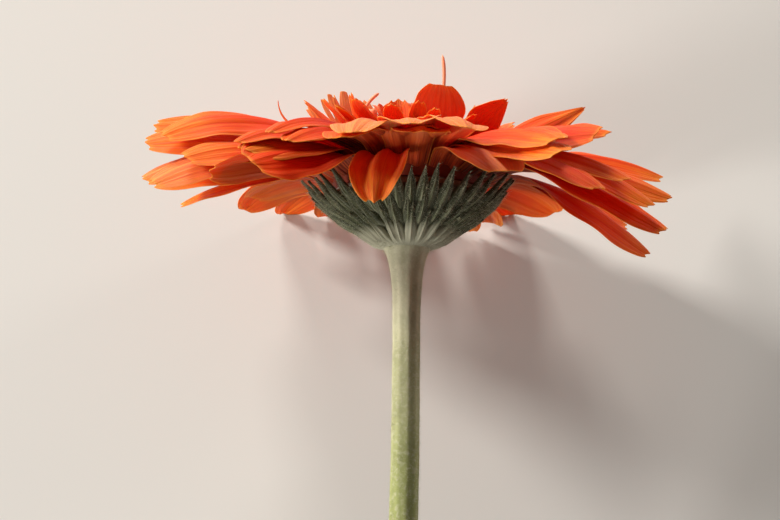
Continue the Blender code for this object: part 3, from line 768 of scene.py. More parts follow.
class Sketch:
    """A short way to wire a Principled material's nodes.

    Attributes:
        material: The material that the nodes belong to.
        shader: Its Principled BSDF.
    """

    def __init__(self, name: str) -> None:
        """Starts a material with a bare Principled BSDF."""
        self.material = bpy.data.materials.new(name)
        self.material.use_nodes = True
        self.tree = self.material.node_tree
        self.shader = self.tree.nodes["Principled BSDF"]

    def put(self, socket: Socket, value: object) -> None:
        """Links a socket's source to it, or sets its number or colour."""
        if isinstance(value, Socket):
            self.tree.links.new(value, socket)
        elif isinstance(value, tuple) and len(value) == 3 and socket.type == "RGBA":
            socket.default_value = (*value, 1.0)
        else:
            socket.default_value = value

    def constant(self, **inputs: object) -> None:
        """Sets values that are the same all over on the shader's own sockets."""
        for key, value in inputs.items():
            self.put(self.shader.inputs[key.replace("_", " ")], value)

    def value(self, name: str) -> Socket:
        """A point value of the mesh."""
        node = self.tree.nodes.new("ShaderNodeAttribute")
        node.attribute_name = name
        return node.outputs["Fac"]

    def math(
        self, operation: str, first: object, second: object = 0.0, third: object = 0.0, clamp: bool = False
    ) -> Socket:
        """The result of a Math node."""
        node = self.tree.nodes.new("ShaderNodeMath")
        node.operation = operation
        node.use_clamp = clamp
        for socket, value in zip(node.inputs, (first, second, third)):
            self.put(socket, value)
        return node.outputs[0]

    def times(self, first: object, second: object, plus: object = None, clamp: bool = False) -> Socket:
        """The product of two values, and where it is given, the sum of that and a third."""
        if plus is None:
            return self.math("MULTIPLY", first, second, clamp=clamp)
        return self.math("MULTIPLY_ADD", first, second, plus, clamp)

    def ease(self, value: object, low: float, high: float) -> Socket:
        """A smooth step of a value, from 0 at low to 1 at high."""
        node = self.tree.nodes.new("ShaderNodeMapRange")
        node.interpolation_type = "SMOOTHSTEP"
        self.put(node.inputs["Value"], value)
        node.inputs["From Min"].default_value = low
        node.inputs["From Max"].default_value = high
        return node.outputs["Result"]

    def point(self, x: object, y: object, z: object) -> Socket:
        """A vector from three values."""
        node = self.tree.nodes.new("ShaderNodeCombineXYZ")
        for socket, value in zip(node.inputs, (x, y, z)):
            self.put(socket, value)
        return node.outputs[0]

    def here(self) -> Socket:
        """The surface's own coordinates, in metres."""
        return self.tree.nodes.new("ShaderNodeTexCoord").outputs["Object"]

    def noise(self, where: object, scale: float, detail: float, rough: float) -> Socket:
        """A noise value about 0.5 at a place."""
        node = self.tree.nodes.new("ShaderNodeTexNoise")
        self.put(node.inputs["Vector"], where)
        node.inputs["Scale"].default_value = scale
        node.inputs["Detail"].default_value = detail
        node.inputs["Roughness"].default_value = rough
        return node.outputs["Fac"]

    def drawn_out(self, across: float, along: float) -> Socket:
        """A place for noise that runs lengthwise, with its scales across and along, other for each tone."""
        scales = {"across": across, "along": along, "tone": TONE_APART}
        return self.point(*(self.times(self.value(name), scale) for name, scale in scales.items()))

    def mix(self, share: object, first: object, second: object, strength: float = 1.0) -> Socket:
        """Two colours mixed by a share, which a strength may weaken."""
        node = self.tree.nodes.new("ShaderNodeMix")
        node.data_type = "RGBA"
        self.put(node.inputs[0], share if strength == 1.0 else self.times(share, strength))
        self.put(node.inputs[6], first)
        self.put(node.inputs[7], second)
        return node.outputs[2]

    def ramp(self, value: object, stops: Run) -> Socket:
        """A colour read from a run of stops."""
        node = self.tree.nodes.new("ShaderNodeValToRGB")
        node.color_ramp.interpolation = "EASE"
        elements = node.color_ramp.elements
        while len(elements) < len(stops):
            elements.new(0.5)
        for element, (place, colour) in zip(elements, stops):
            element.position = place
            element.color = (*colour, 1.0)
        self.put(node.inputs["Fac"], value)
        return node.outputs["Color"]

    def bump(self, height: object, strength: float, distance: float) -> None:
        """Adds relief to the shader from a height value."""
        node = self.tree.nodes.new("ShaderNodeBump")
        node.inputs["Strength"].default_value = strength
        node.inputs["Distance"].default_value = distance
        self.put(node.inputs["Height"], height)
        self.tree.links.new(node.outputs["Normal"], self.shader.inputs["Normal"])

    def paint(self, colour: object) -> None:
        """Gives the shader its colour."""
        self.put(self.shader.inputs["Base Color"], colour)


@dataclass(frozen=True)
class PetalFinish:
    """Petal skin: a velvety orange face, a paler striped back, thin edges with a painted highlight, and
    painted sheen and shade.

    Attributes:
        name: The material's name.
        face: Colours of the upper face from root to tip; the deep red root is partly painted shade near the
            head, the bright orange tip partly painted light.
        back: Colours of the underside from root to tip; the dusky dark root is painted shade near the head,
            over its own paler salmon.
        edge: Colour of the thin rim: a painted highlight where the edges and the tip catch light, over
            their own paler colour.
        margin: Pale salmon painted in streaks on the face's margins as sheen, and the colour of the
            underside's pale veins.
        vein: Deep red of the veins.
        pale: Pale salmon painted as sheen on the outer part of the petals of the highest tone.
        stripe: How strongly the lengthwise veins show.
        veins: Veins across a petal's width.
        painted_sheen: How much the painted sheen pales the petals of the highest tone.
        painted_sheen_from: The tone from which the painted sheen begins.
        run_out: Scale of the veins' noise along the petal.
        cloud_shift: How far clouds move the colours along the petal.
        tone_shift: How far the petal's tone, which for the given tones is painted light and shade, moves
            them.
        ribs: Spacing of the ribs across the petal.
        rib_bend: How far clouds bend them.
        rib_dark: How dark they are beside the veins.
        rim_highlight: How strongly the rim's painted highlight shows.
    """

    name: str = "petal_skin"
    # The deep red root stops are partly painted shade, the bright tip stops partly painted light.
    face: Run = (
        (0.0, (0.34, 0.004, 0.002)),
        (0.24, (0.54, 0.010, 0.002)),
        (0.50, (0.73, 0.045, 0.002)),
        (0.80, (0.83, 0.094, 0.003)),
        (1.0, (0.90, 0.20, 0.010)),
    )
    # The dusky root stops are painted shade near the head.
    back: Run = (
        (0.0, (0.13, 0.030, 0.016)),
        (0.22, (0.30, 0.036, 0.014)),
        (0.46, (0.66, 0.080, 0.012)),
        (0.78, (0.82, 0.14, 0.013)),
        (1.0, (0.90, 0.23, 0.025)),
    )
    edge: Colour = (0.95, 0.28, 0.04)
    margin: Colour = (0.92, 0.25, 0.065)
    vein: Colour = (0.66, 0.010, 0.004)
    pale: Colour = (0.88, 0.28, 0.135)
    stripe: float = 0.52
    veins: float = 5.0
    painted_sheen: float = 0.42
    painted_sheen_from: float = 0.86
    run_out: float = 0.9
    cloud_shift: float = 0.5
    tone_shift: float = 0.42
    ribs: float = 24.0
    rib_bend: float = 12.0
    rib_dark: float = 0.60
    rim_highlight: float = 0.55

    def material(self) -> Material:
        """The finished material."""
        sketch = Sketch(self.name)
        along, across, tone = (sketch.value(name) for name in ("along", "across", "tone"))
        side = sketch.math("ABSOLUTE", across)
        place = sketch.drawn_out(self.veins, self.run_out)
        veins = sketch.noise(place, 2.4, 4.0, 0.6)
        broad = sketch.noise(place, 0.6, 2.0, 0.5)
        reached = sketch.times(sketch.math("SUBTRACT", broad, 0.5), self.cloud_shift, along)
        toned = sketch.times(sketch.math("SUBTRACT", tone, 0.5), self.tone_shift, reached)
        rib = sketch.math("SINE", sketch.times(across, self.ribs, sketch.times(broad, self.rib_bend)))
        dark = sketch.math("MAXIMUM", sketch.ease(veins, 0.42, 0.60), sketch.times(rib, self.rib_dark))
        dark = sketch.times(dark, self.stripe, clamp=True)
        # Painted sheen: streaks towards the face's margins pale to salmon.
        streaks_and_sheen = sketch.times(sketch.ease(side, 0.45, 1.0), sketch.ease(veins, 0.36, 0.56))
        face = sketch.mix(dark, sketch.ramp(toned, self.face), self.vein)
        face = sketch.mix(streaks_and_sheen, face, self.margin, 0.34)
        back = sketch.mix(sketch.ease(veins, 0.48, 0.66), sketch.ramp(toned, self.back), self.margin, 0.45)
        back = sketch.mix(dark, back, self.vein, 0.55)
        both = sketch.mix(sketch.value("upper"), back, face)
        # Painted sheen: the outer part of the highest-tone petals fades to pale salmon.
        outer = sketch.times(sketch.ease(along, 0.2, 0.6), self.painted_sheen)
        painted_sheen_share = sketch.times(sketch.ease(tone, self.painted_sheen_from, 1.0), outer)
        both = sketch.mix(painted_sheen_share, both, self.pale)
        # Painted highlight: a bright rim along the edges and the tip.
        rim = sketch.math("MAXIMUM", sketch.ease(side, 0.92, 1.0), sketch.ease(along, 0.965, 1.0))
        sketch.paint(sketch.mix(rim, both, self.edge, self.rim_highlight))
        sketch.put(sketch.shader.inputs["Roughness"], sketch.times(veins, 0.25, 0.44))
        sketch.constant(Sheen_Weight=0.05, Sheen_Roughness=0.35, Sheen_Tint=(1.0, 0.45, 0.20))
        sketch.constant(Subsurface_Weight=0.40, Subsurface_Radius=(1.0, 0.26, 0.05))
        sketch.constant(Subsurface_Scale=0.0016, Specular_IOR_Level=0.14)
        grain = sketch.noise(sketch.here(), 5200.0, 2.0, 0.6)
        relief = sketch.times(rib, -0.22, sketch.times(grain, 0.18, veins))
        sketch.bump(relief, 0.7, 0.00024)
        return sketch.material


@dataclass(frozen=True)
class PlantFinish:
    """Hairy green tissue of the stem and bracts.

    Attributes:
        name: The material's name.
        run: Colours along the piece.
        fleck: Colour of the pale flecks and ridges.
        shade: Dark colour of the painted shade in the hollows, also mixed in by the random clouds.
        fleck_share: How much the flecks cover.
        fleck_scale: Flecks per metre.
        depth: How strongly the painted shade darkens the hollows.
        rough: Roughness.
        sheen: Weight of the soft bloom that the down gives.
    """

    name: str
    run: Run
    fleck: Colour
    shade: Colour
    fleck_share: float
    fleck_scale: float
    depth: float
    rough: float = 0.72
    sheen: float = 0.4

    def mottle(self, sketch: Sketch) -> Socket:
        """The fine noise of the down and the pores."""
        return sketch.noise(sketch.here(), self.fleck_scale, 5.0, 0.62)

    def colour(self, sketch: Sketch, mottle: Socket) -> Socket:
        """The skin's colour: its run, clouded, with painted shade in the hollows and pale flecks on the
        ridges.

        Args:
            sketch: The material's nodes.
            mottle: The fine noise that the relief shares.

        Returns:
            The colour.
        """
        ridge = sketch.value("ridge")
        cloud = sketch.noise(sketch.here(), self.fleck_scale * 0.16, 3.0, 0.5)
        run = sketch.ramp(sketch.value("along"), self.run)
        shaded = sketch.mix(sketch.ease(cloud, 0.42, 0.75), run, self.shade, 0.35)
        # Painted shade: the hollows between the ridges darken towards the shade colour.
        hollow = sketch.math("SUBTRACT", 1.0, ridge, clamp=True)
        shaded = sketch.mix(hollow, shaded, self.shade, self.depth)
        share = sketch.times(sketch.ease(mottle, 0.46, 0.66), self.fleck_share)
        share = sketch.times(share, sketch.times(ridge, 0.8, 0.2), clamp=True)
        return sketch.mix(share, shaded, self.fleck)

    def material(self) -> Material:
        """The finished material."""
        sketch = Sketch(self.name)
        mottle = self.mottle(sketch)
        sketch.paint(self.colour(sketch, mottle))
        sketch.constant(Roughness=self.rough, Sheen_Weight=self.sheen, Sheen_Roughness=0.45)
        sketch.constant(Sheen_Tint=(0.86, 0.84, 0.72), Specular_IOR_Level=0.25)
        sketch.bump(mottle, 0.6, 0.0002)
        return sketch.material


@dataclass(frozen=True)
class DownFinish:
    """Pale translucent down.

    Attributes:
        name: The material's name.
        foot: Colour near the foot of the flower.
        top: Colour near the head.
    """

    name: str
    foot: Colour
    top: Colour

    def material(self) -> Material:
        """The finished material."""
        sketch = Sketch(self.name)
        mottle = sketch.noise(sketch.here(), 400.0, 2.0, 0.5)
        tint = sketch.mix(sketch.value("along"), self.top, self.foot)
        sketch.paint(sketch.mix(mottle, tint, (0.92, 0.90, 0.80), 0.5))
        sketch.constant(Roughness=0.5, Specular_IOR_Level=0.4, Sheen_Weight=0.3, Sheen_Roughness=0.5)
        return sketch.material


@dataclass
class PetalLayer:
    """One layer of petals on the head.

    Attributes:
        name: The piece's name.
        blades: Its petals.
        rows: Points along a petal.
        columns: Points across it.
        thickness: Petal thickness in the middle.
        wave: Height of the slow waves along the edges of a petal of plain width.
        seed: Seed of the petals' small differences.
        plain_width: That width.
        beats: Fewest and most waves along an edge.
        veins: Fewest and most fine veins across.
        vein: Height of the fine veins.
        thin_edge: Share of the thickness that the edges lack.
        thin_tip: Share of it that the tip lacks.
        tip_start: Share of the length where the tip begins to thin.
        wave_grows: Shares of the length between which the waves grow.
        wave_fades: Shares between which they fade.
        tip_pull: How closely the points crowd at the tip.
        edge_pull: How closely they crowd at the edges.
        tones: Least and greatest shade that chance gives a petal.
    """

    name: str
    blades: list[Blade]
    rows: int = 46
    columns: int = 27
    thickness: float = 0.00034
    wave: float = 0.00035
    seed: int = 5
    plain_width: float = 0.0105
    beats: Pair = (1.6, 2.8)
    veins: Pair = (2.4, 3.4)
    vein: float = 0.00007
    thin_edge: float = 0.62
    thin_tip: float = 0.5
    tip_start: float = 0.8
    wave_grows: Pair = (0.15, 0.6)
    wave_fades: Pair = (0.72, 0.95)
    tip_pull: float = 0.38
    edge_pull: float = 0.55
    tones: Pair = (0.2, 0.8)

    def grid(self) -> tuple[Array, Array]:
        """Shares along and across of a petal's points, closer at the toothed tip and at the edges."""
        along = crowded(np.linspace(0.0, 1.0, self.rows), self.tip_pull)
        return spread(along, crowded(np.linspace(-1.0, 1.0, self.columns), self.edge_pull))

    def petal(self, bundle: Bundle, blade: Blade, draw: random.Random, tiles: list[Tile]) -> None:
        """Adds one petal.

        Args:
            bundle: What it joins.
            blade: Its form.
            draw: The source of its small differences.
            tiles: The bake tiles of its two faces.
        """
        along, across = self.grid()
        middle, normal = blade.surface(along, across)
        beat = draw.uniform(*self.beats)
        phase = draw.uniform(0.0, 2.0 * math.pi)
        lean = draw.uniform(-1.0, 1.0)
        fine = draw.uniform(*self.veins)
        # A given tone is painted light and shade; a drawn one is the petal's own random shade.
        tone = draw.uniform(*self.tones) if blade.tone < 0.0 else blade.tone
        edge = np.abs(across) ** 3 * smooth(*self.wave_grows, along)
        edge = edge * (1.0 - smooth(*self.wave_fades, along))
        ripple = np.sin(2.0 * np.pi * beat * along + phase + lean * across)
        vein = np.cos(2.0 * np.pi * fine * across + phase) * np.sin(np.pi * along) ** 0.5
        height = self.wave * ripple * edge * blade.width / self.plain_width
        height = height + self.vein * vein * (1.0 - across**2)
        middle = middle + normal * height[:, None]
        thick = self.thickness * (1.0 - self.thin_edge * np.abs(across) ** 4)
        thick = thick * (1.0 - self.thin_tip * smooth(self.tip_start, 1.0, along))
        half = 0.5 * normal * thick[:, None]
        upper, lower = POSE.lift(middle + half, middle - half)
        slab(bundle, upper, lower, self.rows, along, across, tiles, tone=tone)

    def build(self, material: Material) -> Object:
        """The layer as one piece.

        Args:
            material: The petals' finish.

        Returns:
            The new object.
        """
        draw = random.Random(self.seed)
        bundle = Bundle(self.name, ("along", "across", "upper", "tone"))
        tiles = sheet(2 * len(self.blades), 4.0)
        for k, blade in enumerate(self.blades):
            self.petal(bundle, blade, draw, tiles[2 * k : 2 * k + 2])
        return bundle.piece(material)


@dataclass
class Bract:
    """One lance-shaped bract on the cup.

    Attributes:
        azimuth: Its way out from the head.
        root: Radius and height of its foot.
        knee: The point that its centreline bends towards.
        tip: Radius and height of its tip.
        width: Its full width.
        keel: Height of its middle ridge.
        sink: Depth of its inner side.
        groove: Height of the grooves beside its ridge.
        curl: How far its tip turns out.
        curl_start: Share of the length where it begins to.
        shoulder: Share of the width that its foot has.
        belly: How much the width grows above the foot.
        belly_end: Share of the length over which it grows and shrinks again.
        lance: Power that keeps it broad towards the tip.
    """

    azimuth: float
    root: Pair
    knee: Pair
    tip: Pair
    width: float
    keel: float
    sink: float = 0.0004
    groove: float = 0.00012
    curl: float = 0.0004
    curl_start: float = 0.82
    shoulder: float = 0.74
    belly: float = 0.30
    belly_end: float = 0.9
    lance: float = 2.1

    def surface(self, along: Array, across: Array, raised: float) -> tuple[Array, Array]:
        """Points and outward directions of one side of the bract, spun to its azimuth.

        Args:
            along: Shares of the length.
            across: Shares of the half width, from -1 to 1.
            raised: 1 for the keeled outer side, 0 for the inner side.

        Returns:
            The points and the outward directions.
        """
        t = along[:, None]
        back = 1.0 - t
        root, knee, tip = (np.array(pair) for pair in (self.root, self.knee, self.tip))
        place = back**2 * root + 2 * back * t * knee + t**2 * tip
        pace = unit(2 * back * (knee - root) + 2 * t * (tip - knee))
        out = stack(pace[:, 1], np.zeros(len(along)), -pace[:, 0])
        outline = self.shoulder + self.belly * np.sin(np.pi * np.clip(along / self.belly_end, 0, 1))
        outline = outline * (1.0 - along**self.lance) ** 0.9
        half = 0.5 * self.width * np.maximum(outline, 0.02)
        roof = self.keel * (1.0 - np.abs(across) ** 1.3) * np.minimum(1.0, outline * 1.6)
        roof = roof * (1.0 - 0.6 * along**2)
        groove = self.groove * np.cos(3.0 * np.pi * across)
        curl = self.curl * smooth(self.curl_start, 1.0, along)
        grown = smooth(0.0, 0.3, along)
        rise = raised * grown * (roof + groove * outline + 0.00012) - (1.0 - raised) * self.sink + curl
        middle = stack(place[:, 0], half * across, place[:, 1])
        return spun(middle + out * rise[:, None], self.azimuth), spun(out, self.azimuth)


@dataclass
class Involucre:
    """The receptacle cup and its rows of downy, overlapping bracts.

    Attributes:
        outline: Radius and height of the cup, upwards.
        rows: For each row: count, first azimuth, root, knee, tip and width.
        sides: Points round the cup.
        between: Share of the width that a row's in-between bracts have.
        scatter: Share of the space between two bracts by which azimuths vary.
        widths: Least and greatest share of the width that the other bracts have.
        lengths: Least and greatest share of the length that they have.
        short_lengths: Those of the in-between bracts.
        keel: Height of a bract's ridge.
        ridge_width: Width of a bract's pale ridge, as a share of the half width.
        border: How pale its borders are.
        border_start: Share of the half width where they begin.
        foot: How pale its foot is.
        foot_end: Share of the length where the foot ends.
        hairs: Hairs on each bract.
        hair_length: Shortest and longest hair.
        hair_radius: Radius of a hair's foot.
        hair_sink: How deep it stands in the skin.
        neck_start: Height where the bracts begin to take the neck's pale colour.
        neck_end: Height below which they have it.
        seed: Start of the chance that varies the bracts.
    """

    outline: tuple[Pair, ...] = (
        (0.0052, -0.0167),
        (0.0064, -0.0154),
        (0.0086, -0.0138),
        (0.0112, -0.0124),
        (0.0136, -0.0107),
        (0.0154, -0.0088),
        (0.0163, -0.0072),
        (0.0154, -0.0059),
    )
    rows: tuple[tuple[int, float, Pair, Pair, Pair, float], ...] = (
        (12, 5.0, (0.0048, -0.0180), (0.0098, -0.0144), (0.0156, -0.0110), 0.0026),
        (15, 17.0, (0.0066, -0.0150), (0.0146, -0.0126), (0.0197, -0.0073), 0.0030),
        (20, 9.0, (0.0092, -0.0132), (0.0186, -0.0098), (0.0221, -0.0039), 0.0037),
    )
    sides: int = 72
    between: float = 0.86
    scatter: float = 0.26
    widths: Pair = (0.90, 1.12)
    lengths: Pair = (0.88, 1.03)
    short_lengths: Pair = (0.74, 1.0)
    keel: float = 0.0007
    ridge_width: float = 0.30
    border: float = 0.55
    border_start: float = 0.72
    foot: float = 0.8
    foot_end: float = 0.18
    hairs: int = 120
    hair_length: Pair = (0.0004, 0.0013)
    hair_radius: float = 0.00002
    hair_sink: float = 0.00003
    neck_start: float = -0.0136
    neck_end: float = -0.0160
    seed: int = 23

    def bracts(self) -> list[Bract]:
        """Every bract, with the narrower ones that fill the gaps of each row."""
        draw = random.Random(self.seed)
        made = []
        for count, first, root, knee, tip, width in self.rows:
            for k in range(2 * count):
                narrow = k % 2
                azimuth = first + 180.0 * (k + draw.uniform(-self.scatter, self.scatter)) / count
                share = self.between if narrow else draw.uniform(*self.widths)
                reach = draw.uniform(*(self.short_lengths if narrow else self.lengths))
                end = tuple(a + (b - a) * reach for a, b in zip(root, tip))
                made.append(Bract(azimuth, root, knee, end, width * share, self.keel * share))
        return made

    def leaf(self, bundle: Bundle, bract: Bract, tone: float, tiles: list[Tile]) -> None:
        """Adds one bract to the cup.

        Args:
            bundle: What it joins.
            bract: Its form.
            tone: Its own shade, from 0 to 1.
            tiles: The bake tiles of its two sides.
        """
        rows, columns = 22, 11
        along, across = spread(np.linspace(0, 1, rows), np.linspace(-1, 1, columns))
        outer, _ = bract.surface(along, across, 1.0)
        inner, _ = bract.surface(along, across, 0.0)
        # The ridge value is high on the keel, the borders and the foot; where it is low the finish paints
        # shade.
        middle = np.exp(-((across / self.ridge_width) ** 2))
        border = self.border * smooth(self.border_start, 1.0, np.abs(across))
        foot = self.foot * (1.0 - smooth(0.0, self.foot_end, along))
        ridge = np.clip(np.maximum(middle + border, foot) + 0.2, 0.0, 1.0) * (1.0 - 0.35 * along**2)
        neck = smooth(self.neck_start, self.neck_end, outer[:, 2])
        slab(bundle, inner, outer, rows, along, across, tiles, ridge=ridge, tone=tone, neck=neck)

    def comb(self, fuzz: Bundle, bract: Bract, draw: np.random.Generator) -> None:
        """Adds a bract's hairs, combed more or less towards its tip.

        Args:
            fuzz: What they join.
            bract: The bract.
            draw: The source of chance.
        """
        at = draw.random(self.hairs)
        off = draw.uniform(-1.0, 1.0, self.hairs)
        off = np.sign(off) * np.abs(off) ** 0.7
        feet, out = bract.surface(at, off, 1.0)
        ahead, _ = bract.surface(np.minimum(at + 0.05, 1.0), off, 1.0)
        behind, _ = bract.surface(np.maximum(at - 0.05, 0.0), off, 1.0)
        way = unit(ahead - behind) * draw.uniform(0.2, 1.1, (self.hairs, 1)) + out
        way = unit(way + draw.normal(0.0, 0.45, (self.hairs, 3)))
        lengths = draw.uniform(*self.hair_length, self.hairs)
        needles(fuzz, feet - out * self.hair_sink, way, lengths, self.hair_radius, along=at)

    def build(self, material: Material, down: Material) -> list[Object]:
        """The cup with its bracts, and their down.

        Args:
            material: The green finish.
            down: The hairs' finish.

        Returns:
            The two pieces.
        """
        draw = np.random.default_rng(self.seed)
        bracts = self.bracts()
        tiles = sheet(2 * len(bracts) + 1, 3.0)
        bundle = Bundle("involucre_bracts", ("along", "across", "upper", "ridge", "tone", "neck"))
        fuzz = Bundle("involucre_down", ("along",))
        turned(bundle, self.outline, self.sides, tiles[-1], along=0.3, ridge=0.1, neck=0.3)
        for k, bract in enumerate(bracts):
            self.leaf(bundle, bract, (0.37 * k) % 1.0, tiles[2 * k : 2 * k + 2])
            self.comb(fuzz, bract, draw)
        return [bundle.piece(material, smoothing=60.0), fuzz.piece(down)]


@dataclass
class Stem:
    """The scape: a downy stalk that widens to the neck and ends in a slanting cut.

    Attributes:
        top: Distance of the neck from the middle of the petal disc.
        start: Distance of its upper end, inside the cup's bracts.
        length: Distance of its cut end from the middle of the petal disc.
        radius: Radius below the neck.
        taper: Growth of the radius per metre.
        flare: Extra radius at the neck.
        fade: Distance over which the neck narrows.
        slant: Slope of the cut.
        lean: Sideways offset near the head.
        bend: Sideways offset of the cut end.
        bend_start: Where the bend starts.
        ribs: Soft ribs round it.
        rib_height: Their height.
        lump_height: Height of its soft lumps.
        rings: Points along it.
        crowding: How much closer they stand at the neck.
        sides: Points round it.
        folds: Strips that its wall is cut into on the bake sheet.
        cut_rings: Sizes of the rings that close its ends.
        dent: How far the cut face is dished.
        hairs: Hairs on it.
        hair_length: Shortest and longest hair.
        hair_radius: Radius of a hair's foot.
        hair_sink: How deep it stands in the skin.
        hair_crowding: Power that draws the hairs towards the neck.
        seed: Start of the chance that places the hairs.
    """

    top: float = 0.0170
    start: float = 0.0159
    length: float = 0.2450
    radius: float = 0.0028
    taper: float = 0.0037
    flare: float = 0.0026
    fade: float = 0.0042
    slant: float = 0.6
    lean: float = -0.0006
    bend: float = -0.0120
    bend_start: float = 0.050
    ribs: int = 9
    rib_height: float = 0.00006
    lump_height: float = 0.00005
    rings: int = 300
    crowding: float = 0.35
    sides: int = 60
    folds: int = 8
    cut_rings: tuple[float, ...] = (0.93, 0.80, 0.62, 0.42, 0.2)
    dent: float = 0.00035
    hairs: int = 15000
    hair_length: Pair = (0.00035, 0.0010)
    hair_radius: float = 0.000018
    hair_sink: float = 0.00004
    hair_crowding: float = 1.35
    seed: int = 31

    def end_drop(self) -> float:
        """How far the cut end hangs below the head's axis, so that it rests on the floor."""
        end = self.radius + self.taper * (self.length - self.top)
        lowest = (POSE.head[2] - (self.length + self.slant * end) * POSE.rise_sin) / POSE.rise_cos
        return lowest - end

    def centres(self, down: Array) -> Array:
        """Centreline points at distances down the stem."""
        past = np.clip((down - self.bend_start) / (self.length - self.bend_start), 0.0, 1.0)
        x = self.lean * np.minimum(1.0, down / self.bend_start)
        x = x + self.bend * 0.5 * (1.0 - np.cos(np.pi * past))
        y = self.end_drop() * (down / self.length) ** 2
        return stack(x, y, -down)

    def radii(self, down: Array) -> Array:
        """Radii at distances down the stem."""
        flare = self.flare * np.exp((self.top - down) / self.fade)
        return self.radius + self.taper * (down - self.top) + flare

    def wall(self, down: Array, angle: Array) -> tuple[Array, Array]:
        """Points and outward directions of the wall, with its soft ribs and lumps.

        Args:
            down: Distances down the stem.
            angle: Angles round it, in radians.

        Returns:
            The points and the directions, each N by 3.
        """
        out = stack(np.cos(angle), np.sin(angle), np.zeros(len(down)))
        wander = 0.5 * np.sin(down * 41.0) + 0.3 * np.sin(down * 97.0 + 1.0)
        rib = np.cos(self.ribs * angle + wander) ** 3
        lump = np.sin(3 * angle + down * 210.0) * np.sin(2 * angle - down * 330.0 + 2.0)
        fade = smooth(0.0, 0.004, down - self.top)
        relief = (self.rib_height * rib + self.lump_height * lump) * fade
        radius = self.radii(down) - 0.00005 + relief
        slant = self.slant * radius * np.sin(angle) * smooth(self.length - 0.006, self.length, down)
        points = self.centres(down) + out * radius[:, None]
        points[:, 2] -= slant
        return points, out

    def skin(self) -> Bundle:
        """The stalk's wall and the two faces that close it.

        On the bake sheet the wall lies in folds side by side, and the end faces in one more column.
        """
        sides, last_row, columns = self.sides, self.rings - 1, self.folds + 1.0
        share = np.linspace(0.0, 1.0, self.rings)
        levels = self.crowding * share**2 + (1.0 - self.crowding) * share
        turns = circle(sides)
        down, angle = spread(self.start + (self.length - self.start) * levels, turns)
        points, _ = self.wall(down, angle)
        along = (down - self.top) / (self.length - self.top)
        row, column = cells(last_row, sides)
        a, b = row * sides + column, row * sides + (column + 1) % sides
        fold = (row / last_row * self.folds).astype(int)[:, None]
        level = np.clip(stack(row, row + 1, row + 1, row) / last_row * self.folds - fold, 0.0, 1.0)
        wide = stack(column, column, column + 1, column + 1) / sides
        faces = [stack(a, a + sides, b + sides, b)]
        places = [Tile(0, 1, 1, 0.01).place((fold + 0.06 + 0.88 * wide) / columns, level)]
        rings, values, pith = [points], [along], [np.zeros(len(points))]
        count = len(points)
        for end, cut in ((0, False), (last_row, True)):
            way = 1 if cut else -1
            rim = points[end * sides : (end + 1) * sides]
            middle = rim.mean(axis=0)
            last = np.arange(sides) + end * sides
            for k, keep in enumerate(self.cut_rings):
                rough = self.dent * (1.0 - keep) + 0.00004 * np.sin(7.0 * turns + 5.0 * k)
                rings.append(middle + (rim - middle) * keep + cut * stack(0.0 * turns, 0.0 * turns, rough))
                new = count + np.arange(sides)
                faces.append(stack(last, new, np.roll(new, -1), np.roll(last, -1))[:, ::way])
                spot = stack(turns, turns, turns + 0.1, turns + 0.1)
                far = np.array((1.0, keep, keep, 1.0)) * 0.4 * keep
                disc = stack(0.5 + far * np.cos(spot), 0.5 + far * np.sin(spot))
                places.append(np.array((self.folds / columns, 0.1 if cut else 0.6)) + disc / columns)
                last = new
                count += sides
            rings.append(middle[None] + cut * np.array((0.0, 0.0, 0.0003)))
            faces.append(stack(last, np.full(sides, count), np.roll(last, -1))[:, ::way])
            places.append(np.broadcast_to(np.array((0.95, 0.15 if cut else 0.65)), (sides, 3, 2)))
            closing = len(self.cut_rings) * sides + 1
            values.append(np.full(closing, along[end * sides]))
            pith.append(np.full(closing, float(cut)))
            count += 1
        # The ridge value is high on the soft ribs and low between them, where the finish paints shade; the
        # end faces take a middle value.
        ridge = np.append(0.75 + 0.25 * np.cos(self.ribs * angle), np.full(count - len(points), 0.6))
        bundle = Bundle("stem_stalk", ("along", "ridge", "pith"))
        own = {"along": np.concatenate(values), "ridge": ridge, "pith": np.concatenate(pith)}
        bundle.add(np.concatenate(rings), faces, places, **own)
        return bundle

    def down(self) -> Bundle:
        """The stalk's hairs, which stand denser near the head."""
        draw = np.random.default_rng(self.seed)
        at = self.start + (self.length - 0.002 - self.start) * draw.random(self.hairs) ** self.hair_crowding
        around = 2.0 * np.pi * draw.random(self.hairs)
        feet, out = self.wall(at, around)
        way = unit(out + np.array((0.0, 0.0, -0.25)) + draw.normal(0.0, 0.42, (self.hairs, 3)))
        lengths = draw.uniform(*self.hair_length, self.hairs)
        share = (at - self.top) / (self.length - self.top)
        fuzz = Bundle("stem_down", ("along",))
        needles(fuzz, feet - out * self.hair_sink, way, lengths, self.hair_radius, along=share)
        return fuzz

    def build(self, material: Material, down: Material) -> list[Object]:
        """The stalk and its down.

        Args:
            material: The stalk's finish.
            down: The hairs' finish.

        Returns:
            The two pieces.
        """
        return [self.skin().piece(material), self.down().piece(down)]


class FloretForm(Enum):
    """How far a disc floret has opened.

    Each form gives its lobes, their depth, its width, and how wide its lip and the lip's inner edge are.
    """

    BUD = (5, 0.10, 0.62, 0.66, 0.46)
    FINGER = (3, 0.22, 0.80, 0.66, 0.46)
    STAR = (5, 0.62, 1.05, 1.15, 0.70)


